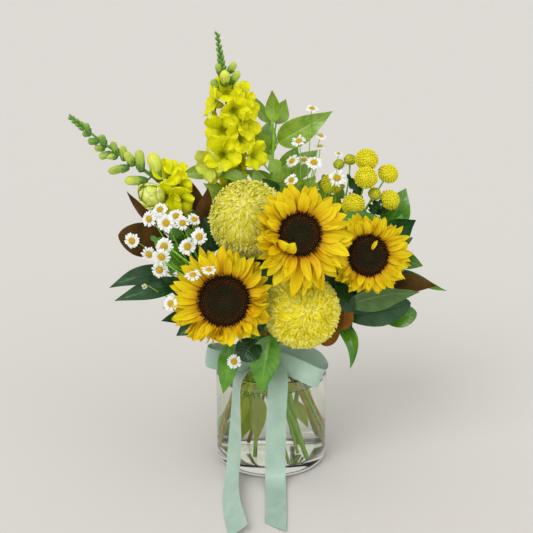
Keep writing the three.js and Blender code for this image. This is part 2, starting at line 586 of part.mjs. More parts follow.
// One open flower: a pouch that flares into its lobes, with the closed palate between them.
function snapFlower(from, out, along, size) {
  const way = out.clone().addScaledVector(along, 0.35).normalize();
  const side = along.clone().cross(way).normalize();
  const top = way.clone().cross(side);
  const ringAt = (radius, forward) =>
    MOUTH.map(([degrees, lobe, ahead]) => {
      const turn = THREE.MathUtils.degToRad(degrees);
      const [r, d] = [radius * (radius === 1 ? lobe : 1) * size, (forward ?? ahead) * size];
      return from
        .clone()
        .addScaledVector(way, d)
        .addScaledVector(top, r * Math.cos(turn))
        .addScaledVector(side, -r * Math.sin(turn));
    });
  const pole = (forward) => [from.clone().addScaledVector(way, forward * size)];
  return solidOf(skin([pole(-2), ringAt(5.4, 8), ringAt(1, null), ringAt(4, 17), pole(20)]));
}

// The open flowers, on the sleeve that holds them together round the stem.
function snapFlowers(item, curve) {
  const rows = SPIKE.flowerRows;
  const opened = new THREE.CatmullRomCurve3(
    Array.from({ length: rows + 1 }, (_, i) => curve.getPointAt((item.open * i) / rows)),
  );
  const solids = [stalk(opened, (t) => SPIKE.sleeve * (1 - 0.2 * t), 6, rows)];
  for (let k = 0; k < item.flowers; k++) {
    const share = (k + 0.6) / item.flowers;
    const along = opened.getTangentAt(share * 0.96);
    const flat = TO_VIEWER.clone().addScaledVector(along, -TO_VIEWER.dot(along)).normalize();
    const out = flat.applyAxisAngle(along, GOLDEN_TURN * k);
    const from = opened.getPointAt(share * 0.96).addScaledVector(out, SPIKE.flowerInset);
    solids.push(snapFlower(from, out, along, item.size * (1 - 0.3 * share)));
  }
  return join(solids);
}

// The stem up through the spike, with buds drawn out of its faces above the open flowers, two to a row.
function snapStem(stem, item, curve) {
  const shares = Array.from({ length: SPIKE.flowerRows }, (_, i) => (item.open * (i + 1)) / SPIKE.flowerRows);
  for (let i = 1; i <= item.budRows; i++) shares.push(item.open + ((1 - item.open) * i) / item.budRows);
  const spike = shares.map((t) => ({
    at: curve.getPointAt(t),
    way: curve.getTangentAt(t),
    radius: item.stem * spikeTaper(t),
  }));
  const stations = [...stem.stations, ...spike];
  const firstBud = stations.length - 1 - item.budRows;
  const rings = ringsThrough(stations, STEM.sides);
  const budAt = (row, k) => {
    const i = row - firstBud;
    if (i < 0 || (k + 3 * i) % STEM.sides > 1 || (k + 3 * i) % 2) return null;
    const size = 1.15 - (0.75 * i) / item.budRows;
    const { at, way } = stations[row];
    const middle = at.clone().lerp(stations[row + 1].at, 0.5);
    const faceMiddle = rings[row][k].clone().lerp(rings[row][(k + 1) % STEM.sides], 0.5);
    const out = faceMiddle.sub(at).normalize();
    const across = way.clone().cross(out);
    const swell = middle.clone().addScaledVector(out, 6 * size).addScaledVector(way, 2 * size);
    const tip = middle.clone().addScaledVector(out, 9 * size).addScaledVector(way, SPIKE.budLength * size);
    return [bladeSection(swell, across, way, SPIKE.budWidth * size, SPIKE.budHeight * 2 * size), [tip]];
  };
  wetStems.push(stalkThrough(stem.straight(GAP), STEM.sides));
  return solidOf(skin(rings, { drawnAt: budAt }));
}

// ---------------------------------------------------------------- small flowers

// A button chrysanthemum: a flattened ball whose every face is drawn up to a floret.
function buttonPom(radius) {
  const ball = new THREE.IcosahedronGeometry(POM.core * radius, radius < POM.small ? 0 : 1);
  const corners = ball.attributes.position;
  const faces = [];
  for (let i = 0; i < corners.count; i += 3) {
    const face = [0, 1, 2].map((k) => V().fromBufferAttribute(corners, i + k));
    const peak = face.reduce((sum, corner) => sum.add(corner), V()).setLength(radius);
    if (peak.z < POM.bareBelow * radius) faces.push(...face);
    else for (let k = 0; k < 3; k++) faces.push(face[k], face[(k + 1) % 3], peak);
  }
  const flatter = (point) =>
    point.clone().setZ(Math.max(point.z * (point.z < 0 ? POM.below : POM.above), -POM.floor * radius));
  return new THREE.BufferGeometry().setFromPoints(faces.map(flatter));
}

// A feverfew stalk and its head in one skin: the rays as a star, rising to a round eye.
function feverfewHead(from, middle, centre, way, radius) {
  const { rays, dip, eye, stalk } = FEVERFEW_HEAD;
  const behind = centre.clone().addScaledVector(way, -2);
  const bent = behind.clone().addScaledVector(way, -6);
  const route = new THREE.CatmullRomCurve3([from, middle, bent, behind], false, "centripetal");
  const stations = stationsOn(route, () => stalk, 3);
  stations[3] = { at: behind, way, radius: stalk };
  const rings = ringsThrough(stations, 3);
  const across = rings[3][0].clone().sub(behind).normalize();
  const other = way.clone().cross(across);
  const ringAt = (count, radiusAt, ahead) =>
    Array.from({ length: count }, (_, k) => {
      const turn = (2 * Math.PI * k) / count;
      return centre
        .clone()
        .addScaledVector(way, ahead)
        .addScaledVector(across, radiusAt(k) * Math.cos(turn))
        .addScaledVector(other, radiusAt(k) * Math.sin(turn));
    });
  const star = ringAt(2 * rays, (k) => radius * (k % 2 ? dip : 1), -0.3);
  const dome = ringAt(rays, () => radius * eye, 1.5);
  return solidOf(skin([...rings, star, dome, ringAt(1, () => 0, 3)]));
}

// ---------------------------------------------------------------- leaves

// A leaf and its stalk in one skin: thickest along the rib and sharp at the edges. The stalk leaves the stem
// at from.
function leafSolid(leaf, from) {
  const [base, tip] = [seen(leaf.base), seen(leaf.tip)];
  const along = tip.clone().sub(base).normalize();
  const flat = TO_VIEWER.clone().addScaledVector(along, -TO_VIEWER.dot(along)).normalize();
  const face = flat.applyAxisAngle(along, THREE.MathUtils.degToRad(leaf.face));
  const left = face.clone().cross(along);
  const bowed = base.clone().lerp(tip, 0.5).addScaledVector(face, -2 * leaf.bend);
  const spine = new THREE.QuadraticBezierCurve3(base, bowed, tip);
  const petiole = new THREE.QuadraticBezierCurve3(from, from.clone().lerp(base, 0.6).add(V(0, 0, -4)), base);
  const section = (curve, t, half, fold) => {
    const [at, way] = [curve.getPoint(t), curve.getTangent(t)];
    const aside = left.clone().addScaledVector(way, -left.dot(way)).normalize();
    const lift = way.clone().cross(aside);
    const [reach, raise] = [half * Math.cos(fold), half * Math.sin(fold)];
    const edge = (side) => at.clone().addScaledVector(aside, side * reach).addScaledVector(lift, raise);
    const rib = (side) => at.clone().addScaledVector(lift, side * LEAF.rib);
    return [edge(1), rib(1), edge(-1), rib(-1)];
  };
  const shape = LEAF_SHAPES[leaf.round ? "round" : "pointed"];
  const rings = [section(petiole, 0, LEAF.stalk, 0), section(petiole, 0.5, LEAF.stalk, 0)];
  rings.push(section(spine, 0, LEAF.stalk, 0));
  for (let i = 1; i < LEAF.steps; i++) {
    const t = i / LEAF.steps;
    rings.push(section(spine, t, (leaf.width / 2) * shape(t), leaf.fold));
  }
  return solidOf(skin([...rings, [tip]]));
}

// A leafy stem: the stem, and a stalk to each leaf from the nearest place on it below the leaf.
function branchSolid(item) {
  const end = seen(item.end);
  const stem = stemOf(item, end, end.clone().setZ(end.z - WAIST.z).normalize());
  const solids = [stemSolid(stem)];
  const joints = Array.from({ length: 24 }, (_, i) => stem.bend.getPointAt((i + 1) / 25));
  for (const leaf of item.leaves) {
    const base = seen(leaf.base);
    const effort = (joint) => joint.distanceTo(base) + 0.7 * Math.max(0, joint.z - base.z + 6);
    const nearest = joints.reduce((best, joint) => (effort(joint) < effort(best) ? joint : best));
    solids.push(leafSolid(leaf, nearest));
  }
  return join(solids);
}

// ---------------------------------------------------------------- vase, water and ribbon

// A straight-sided tumbler of heavy glass: rounded heel and lip, thick bottom.
function vaseGeometry() {
  const { radius, height, wall, base, heel, lip } = VASE;
  const inner = radius - wall;
  const profile = [[0, 0], [radius - heel, 0]];
  for (const share of [0.3, 0.6, 1]) {
    const turn = (Math.PI / 2) * share;
    profile.push([radius - heel + heel * Math.sin(turn), heel - heel * Math.cos(turn)]);
  }
  profile.push([radius, height - lip], [radius - wall / 2, height], [inner, height - lip]);
  profile.push([inner, base + 5], [inner - 1.5, base + 1.5], [inner - 5, base], [0, base]);
  return turned(profile, VASE.segments);
}

// The water, with a plain hole for each stem that stands in it.
function waterSolid() {
  const radius = VASE.radius - VASE.wall - GAP;
  const bottom = VASE.base + GAP;
  const heel = 5.2;
  const profile = [[0, bottom], [radius - heel, bottom], [radius, bottom + heel]];
  profile.push([radius, WATER.top], [0, WATER.top]);
  const filled = solidOf(turned(profile, WATER.segments));
  return largest(wetStems.reduce((water, stem) => water.subtract(stem), filled));
}

// A strip of ribbon along a path, its width along the way that acrossAt gives.
function strip(points, acrossAt, halfWidth, thick, steps) {
  const curve = new THREE.CatmullRomCurve3(points, false, "centripetal");
  const rings = [];
  for (let i = 0; i <= steps; i++) {
    const t = i / steps;
    const centre = curve.getPoint(t);
    const along = curve.getTangent(t);
    const across = acrossAt(t).addScaledVector(along, -acrossAt(t).dot(along)).normalize();
    const outward = along.clone().cross(across);
    const corner = (side, face) =>
      centre.clone().addScaledVector(across, side * halfWidth).addScaledVector(outward, (face * thick) / 2);
    rings.push([corner(1, -1), corner(1, 1), corner(-1, 1), corner(-1, -1)]);
  }
  return solidOf(skin(rings));
}

function ribbonSolid() {
  const [low, high] = [TIE.z - TIE.width / 2, TIE.z + TIE.width / 2];
  const outside = TIE.radius + TIE.thick;
  const section = [[TIE.radius, low], [outside, low], [outside, high], [TIE.radius, high]];
  const around = turned(section, TIE.segments);
  const knot = new THREE.IcosahedronGeometry(TIE.knot, 0).scale(1.2, 0.9, 1.2);
  knot.translate(0, -TIE.radius - 6, TIE.z);
  const upright = () => V(0, 0, 1);
  const level = () => V(1, 0.02, 0.02);
  const turning = (t) => V(1, -1.1 * Math.sin(Math.PI * Math.min(1, t * 1.35)), 0);
  const band = (route, acrossAt, steps) =>
    strip(route.map((point) => V(...point)), acrossAt, RIBBON.half, TIE.thick, steps);
  return join([
    solidOf(around),
    solidOf(knot),
    band(RIBBON.rightTail, level, 11),
    band(RIBBON.leftTail, turning, 12),
    band(RIBBON.rightLoop, upright, 7),
    band(RIBBON.leftLoop, upright, 7),
  ]);
}

// ---------------------------------------------------------------- the bunch in its vase

const bunch = new THREE.Group();
const placed = []; // every solid that has its place, in the bunch's frame

const materialOf = (finish) =>
  new THREE.MeshStandardMaterial({ ...FINISHES[finish], metalness: 0, name: finish });

function addMesh(parent, name, geometry, finish) {
  const mesh = new THREE.Mesh(geometry, materialOf(finish));
  mesh.name = name;
  parent.add(mesh);
  mesh.updateMatrixWorld(true);
  placed.push(inBunch(geometry, parent));
}

// The solid of a geometry built in a head's own frame, where the head is.
const inBunch = (geometry, head) => solidOf(geometry.clone().applyMatrix4(head.matrixWorld));

const addSolid = (name, solid, finish) => addMesh(bunch, name, geometryOf(solid), finish);

// A group whose +Z is the way a head faces and whose +Y is as far up as that allows.
function headGroup(centre, way) {
  const head = new THREE.Group();
  const across = Z_AXIS.clone().cross(way).normalize();
  head.position.copy(centre);
  head.setRotationFromMatrix(new THREE.Matrix4().makeBasis(across, way.clone().cross(across), way));
  bunch.add(head);
  head.updateMatrixWorld(true);
  return head;
}

// A solid cut back a little from everything that has its place already, without the scraps of the cut.
function cutBack(solid) {
  const near = placed.filter((other) => solid.minGap(other, GAP) < GAP);
  if (!near.length) return solid;
  return largest(near.reduce((kept, other) => kept.subtract(grown(other, CLEAR)), solid));
}

for (const item of SUNFLOWERS) {
  const [centre, way] = [seen(item.at), facing(item.azimuth, item.rise)];
  const head = headGroup(centre, way);
  addMesh(head, `${item.name}_petals`, sunflowerPetals(item), "petal_gold");
  addMesh(head, `${item.name}_disc`, sunflowerDisc(item.disc), "disc_dark");
  const stem = stemOf(item, centre.clone().addScaledVector(way, -HEAD.discDepth - HEAD.cup + 2), way);
  addSolid(`${item.name}_stem`, stemSolid(stem).add(inBunch(sunflowerCup(item), head)), "stem_green");
}

for (const item of MUMS) {
  const [centre, way] = [seen(item.at), facing(item.azimuth, item.rise)];
  const head = headGroup(centre, way);
  addMesh(head, `${item.name}_head`, mumHead(item), "cream_petal");
  const top = MUM.flatAt * MUM.core * item.radius - GAP;
  const cup = turned([[0, top - 7], [item.stem * 1.4, top - 7], [10, top], [0, top]], 10);
  const stem = stemOf(item, centre.clone().addScaledVector(way, top - 3), way);
  addSolid(`${item.name}_stem`, stemSolid(stem).add(inBunch(cup, head)), "stem_green");
}

for (const item of SNAPDRAGONS) {
  const spine = new THREE.CatmullRomCurve3(item.spine.map(seen), false, "centripetal");
  const stem = stemOf(item, spine.getPoint(0), spine.getTangent(0));
  addSolid(`${item.name}_stem`, snapStem(stem, item, spine), "snap_green");
  addSolid(`${item.name}_flowers`, cutBack(snapFlowers(item, spine)), "snap_yellow");
}

// Where along its bend a spray's stem gives off the k-th of so many stalks.
const forkShare = (k, count) => 0.97 - (0.3 * k) / count;

{
  const end = seen(BUTTONS.end);
  const stem = stemOf(BUTTONS, end, V(0.1, 0, 1).normalize());
  const solids = [stemSolid(stem)];
  BUTTONS.poms.forEach(([column, row, depth, radius], k) => {
    const centre = seen([column, row, depth]);
    const way = centre.clone().sub(end).normalize().add(V(0, -0.9, 0.35)).normalize();
    const head = headGroup(centre, way);
    addMesh(head, `button_pom_${k + 1}`, buttonPom(radius), "button_yellow");
    const under = centre.clone().addScaledVector(way, -POM.floor * radius - GAP);
    const fork = stem.bend.getPointAt(forkShare(k, BUTTONS.poms.length));
    const low = under.clone().addScaledVector(way, -14).lerp(end, 0.25);
    const branch = new THREE.CubicBezierCurve3(fork, fork.clone().lerp(low, 0.5), low, under);
    solids.push(stalk(branch, () => POM.stalk, 3, 3));
  });
  addSolid(BUTTONS.name, join(solids), "stem_green");
}

for (const item of FEVERFEW) {
  const end = seen(item.end);
  const stem = stemOf(item, end, end.clone().setZ(end.z - WAIST.z + 40).normalize());
  const solids = [stemSolid(stem)];
  item.heads.forEach(([column, row, depth, radius, azimuth, rise, past], k) => {
    const [centre, way] = [seen([column, row, depth]), facing(azimuth, rise)];
    const fork = stem.bend.getPointAt(forkShare(k, item.heads.length));
    const middle = past ? seen(past) : fork.clone().lerp(centre, 0.55).add(V(0, 3, -5));
    solids.push(feverfewHead(fork, middle, centre, way, radius));
  });
  addSolid(item.name, join(solids), "feverfew");
}

addMesh(bunch, "vase", vaseGeometry(), "glass");
for (const item of BRANCHES) addSolid(item.name, cutBack(branchSolid(item)), item.finish);
addSolid("ribbon", cutBack(ribbonSolid()), "ribbon");
addSolid("water", waterSolid(), "water");

export default bunch;
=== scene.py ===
"""Sunflowers, chrysanthemums, snapdragons, feverfew and leafy stems in a vase, tied with a satin ribbon."""

import math

import bmesh
import bpy
import numpy as np
from bpy.props import FloatProperty, FloatVectorProperty, IntProperty, PointerProperty
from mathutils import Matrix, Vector


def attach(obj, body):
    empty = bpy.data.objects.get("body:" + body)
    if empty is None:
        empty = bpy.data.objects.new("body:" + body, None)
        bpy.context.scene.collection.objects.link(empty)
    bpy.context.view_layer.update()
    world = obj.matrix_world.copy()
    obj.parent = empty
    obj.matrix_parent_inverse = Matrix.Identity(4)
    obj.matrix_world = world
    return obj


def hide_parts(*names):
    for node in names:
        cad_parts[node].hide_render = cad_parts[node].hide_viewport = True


bl_info = {
    "name": "Vase of sunflowers",
    "version": (1, 0, 0),
    "blender": (4, 5, 0),
    "location": "View3D > Sidebar > Bouquet",
    "description": "Grows a tied bunch of sunflowers and garden flowers in a glass vase",
    "category": "Object",
}

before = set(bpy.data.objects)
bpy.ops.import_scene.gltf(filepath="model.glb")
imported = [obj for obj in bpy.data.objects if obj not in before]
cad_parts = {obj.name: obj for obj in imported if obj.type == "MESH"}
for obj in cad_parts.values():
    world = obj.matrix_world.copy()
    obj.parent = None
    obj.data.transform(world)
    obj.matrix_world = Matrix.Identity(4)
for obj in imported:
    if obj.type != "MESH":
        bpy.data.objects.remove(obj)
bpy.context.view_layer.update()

# ------------ sizes, in millimetres

MM = 0.001
GOLDEN_TURN = math.radians(137.508)
# The clearance between pieces that stand or hang on each other.
GAP = 0.35

VASE = {"radius": 70, "height": 130, "wall": 4, "base": 14, "heel": 9}
WATER_TOP = 114
TIE = {"z": 152, "width": 24, "radius": 32.4}
# Where the stems cross: its height, the ring that the inner ones keep, and how far from it the feet stand.
WAIST = {"z": 150, "inner": 12.5, "inner_spread": 30, "outer_spread": 51}

# The seeds of the random draws. Each further head of a kind takes the next one, each daisy one a step on.
SEEDS = {"petals": 11, "disc": 31, "mum": 51, "spike": 71, "pom": 91, "daisy": 131, "leaf": 300}
DAISY_SEED_STEP = 17
BRACT_SEED_PER_RADIUS = 7

# The reference view: its focal length and centre in pixels of a 533-pixel frame, its tilt and where it is.
FRAME_PIXELS = 533
FOCAL = 1230
CENTRE = FRAME_PIXELS / 2
PITCH = math.radians(18.3)
EYE = np.array([-6.0, -1445.0, 735.0])
UP_IN_VIEW = np.array([0, math.sin(PITCH), math.cos(PITCH)])
INTO_VIEW = np.array([0, math.cos(PITCH), -math.sin(PITCH)])

# Flower heads: column, row and depth of the centre, the way they face (degrees round from -Y, and up), and
# for each stem its slot in the tie (ring and lean), how far it keeps its way and its neck. A sunflower's
# petals reach so far to the right, up, to the left and down, and are more or less unruly there. Narrow
# scales their width, and the narrower they are, the more of them stand in each layer.
SUNFLOWERS = {
    "sunflower_left": {
        "at": (224, 301, -106), "way": (2, 19), "disc": 29.5, "narrow": 0.9, "reach": (57, 66, 69, 54),
        "unruly": (1.1, 0.45, 0.6, 1.7), "slot": ("outer", 254), "bend": (75, 41), "stem": 4.4},
    "sunflower_middle": {
        "at": (300, 234.5, -102), "way": (14, 17), "disc": 24.6, "narrow": 1.0, "reach": (60, 57, 53, 71),
        "unruly": (0.3, 0.1, 0.9, 0.7), "slot": ("inner", 290), "bend": (62, 76), "stem": 4.4},
    "sunflower_right": {
        "at": (368, 255.5, -70), "way": (12, 16), "disc": 24, "narrow": 0.72, "reach": (54, 49, 46, 47),
        "unruly": (0.55, 0.4, 0.5, 0.9), "slot": ("outer", 338), "bend": (39, 30), "stem": 3.9},
}
DISC_DEPTH = 7
CUP_DEPTH = 11
# Chrysanthemums: their petals go from incurved to reflexed between two turns (radians from the pole).
MUMS = {
    "mum_lower": {
        "at": (302, 311, -66), "way": (6, 20), "radius": 45, "turns": (0.55, 1.0), "colour": "mum_lemon",
        "slot": ("outer", 296), "bend": (24, 22)},
    "mum_upper": {
        "at": (248, 219, -42), "way": (-12, 34), "radius": 46, "turns": (0.75, 1.25), "colour": "mum_cream",
        "slot": ("inner", 241), "bend": (61, 37)},
}
MUM_STEM = 3
# The height of a head's flat underside, as a share of its radius.
MUM_FLAT = -0.78 * 0.72
# Snapdragon spikes. Florets spiral along the open share of the spine, and others are set one by one: place,
# the way they face, size and paleness. Beads are the small buds up to the tip: where along the spine they
# start, how many they are and half the width of the first. Larger buds are set by base, tip, half their
# width and how lime they are.
SNAPDRAGONS = {
    "snapdragon_upright": {
        "slot": ("inner", 140), "bend": (70, 60), "open": 0.6, "florets": 15, "size": 0.9,
        "beads": (0.77, 14, 2.5),
        "spine": ((230, 197, 31), (228, 150, 30), (227, 108, 28), (222, 68, 26), (217, 33, 24)),
        "set": (
            ((226, 94, 14), 0, 30, 0.95, 0.3), ((243, 96, 14), 35, 25, 0.85, 0.1),
            ((213, 105, 14), -70, 10, 1.0, 0.1), ((234, 112, 6), 8, -5, 1.0, 0.1),
            ((248, 109, 14), 60, 5, 0.95, 0.1), ((221, 131, 4), -20, 5, 1.2, 0.1),
            ((246, 127, 8), 50, 5, 1.05, 0.1), ((240, 142, 4), 30, -10, 1.05, 0.3),
            ((223, 157, 0), 5, 0, 1.2, 0.15), ((209.5, 167, 0), -30, -2, 1.0, 0.92),
            ((254, 158, 8), 45, -5, 0.88, 0.2)),
        "buds": (
            ((220, 75.5, 24), (217, 63, 24), 3.4, 0.5), ((230.5, 73, 22), (235.5, 62, 20), 3.8, 0.6),
            ((232.6, 83, 22), (239.4, 71, 18), 4.2, 0.6), ((225.5, 85, 18), (224.5, 71, 8), 5.4, 0.95),
            ((216.8, 92, 20), (212, 79.5, 18), 4.2, 0.35), ((238, 91, 20), (240, 82, 16), 4.2, 0.9))},
    "snapdragon_leaning": {
        "slot": ("outer", 166), "bend": (63, 71), "open": 0.2, "florets": 3, "size": 0.85,
        "beads": (0.87, 9, 2.5),
        "spine": ((192, 211, -8), (173, 193, -12), (148, 173, -16), (112, 149, -18), (70, 117, -18)),
        "set": (
            ((169, 176, -22), -15, 35, 0.95, 0.05), ((178, 173, -18), 15, 40, 0.75, 0.05),
            ((180, 187, -24), 20, 10, 0.95, 0.05), ((167, 198, -30), -15, -10, 1.0, 0.1),
            ((181, 203, -28), 20, -20, 0.95, 0.05)),
        "buds": (
            ((89, 134, -18), (85.5, 123, -20), 3.2, 0.1), ((91, 133, -16), (82, 134, -18), 3.2, 0.05),
            ((98, 141, -16), (87.5, 142, -18), 3.7, 0.1),
            ((104, 146, -16), (100.5, 134.5, -18), 3.9, 0.15),
            ((104, 149, -14), (94, 148, -18), 3.6, 0.55), ((110, 154, -14), (99, 158, -18), 3.9, 0.5),
            ((117, 157, -14), (105.5, 156, -18), 3.8, 0.7),
            ((117.3, 155, -16), (111.5, 141.5, -18), 3.5, 0.35),
            ((123.5, 161.5, -16), (122.5, 145, -18), 3.9, 0.55),
            ((133, 166, -16), (125.5, 151.5, -20), 4.6, 0.75),
            ((141, 172, -16), (138.5, 149.5, -20), 5.0, 0.6),
            ((160, 180, -16), (151, 152, -22), 7.0, 1.0),
            ((127.5, 169, -16), (107.5, 171.5, -24), 4.3, 0.55),
            ((145, 183, -18), (124, 180.5, -28), 5.0, 0.8))},
}
# The pale layered bud of the leaning spike: its middle, its radius and the way it faces.
LAYERED_BUD = {"spike": "snapdragon_leaning", "at": (151.5, 195.5, -34), "radius": 15.5, "way": (-25, 25)}
SNAP_STEM = 2.9
BUTTONS = {
    "slot": ("outer", 8), "bend": (55, 25), "stem": 2.4, "end": (352, 232, 8),
    "poms": ((366.5, 160, 9, 14.8), (366, 178, -14, 14.6), (388, 174, 12, 13), (374.5, 194, -8, 8.5),
             (389.5, 200, -4, 13), (353.4, 205, -16, 14.6), (339, 164.5, 34, 7.4), (350, 160, 36, 8),
             (332, 184, 10, 14)),
}
# Each feverfew head: column, row, depth, radius, the way it faces, and a place that its stalk bends past.
FEVERFEW = {
    "feverfew_left": {
        "slot": ("outer", 222), "bend": (40, 25), "stem": 1.7, "end": (186, 262, -58),
        "heads": (
            (149, 219, -62, 9, -20, 15), (166, 223, -74, 10, -5, 15), (132, 241, -66, 9.5, -15, 10),
            (149, 254.5, -74, 10, -15, 5), (164, 246.5, -84, 10, -5, 15), (161.5, 257, -94, 9.5, 0, 0),
            (159.5, 270, -84, 10.5, -5, 8), (187.5, 246.5, -88, 10.5, 5, 15),
            (199, 237, -98, 9.5, 20, 20), (176, 216, -62, 9, 10, 40), (182.5, 223, -72, 8.5, 10, 20),
            (160, 209.5, -52, 8.5, -10, 40), (194, 219.5, -62, 8.5, 30, 45),
            (193, 275, -122, 9.5, -10, 68, (164, 262, -100)),
            (209, 270, -121, 8.5, 10, 74, (170, 248, -104)))},
    "feverfew_front": {
        "slot": ("inner", 212), "bend": (54, 12), "stem": 1.6, "end": (230, 352, -72),
        "heads": (
            (234, 361.5, -98, 8.6, 5, 10),)},
    "feverfew_side": {
        "slot": ("inner", 173), "bend": (29, 28), "stem": 1.6, "end": (176, 292, -72),
        "heads": (
            (170.5, 303.5, -116, 8.5, -10, 20), (144.5, 286.5, -84, 3.4, 0, 0))},
    "feverfew_top": {
        "slot": ("outer", 21), "bend": (62, 23), "stem": 1.7, "end": (306, 214, 2),
        "heads": (
            (312, 108.5, 8, 8, 10, 70), (299, 141, -4, 9, -20, 60), (321, 136, 10, 7.5, 40, 65),
            (320, 146.5, 16, 7.5, 0, 75), (292, 161, 0, 8.5, -40, 40), (304, 160, 10, 7.5, 0, 60),
            (314, 162.5, -16, 10.5, 5, 50), (291.5, 180, -20, 8.5, -20, 40),
            (337, 178, -14, 10.5, 0, 40), (338.5, 153.5, 2, 5, 20, 60, (337, 170, -12)))},
}
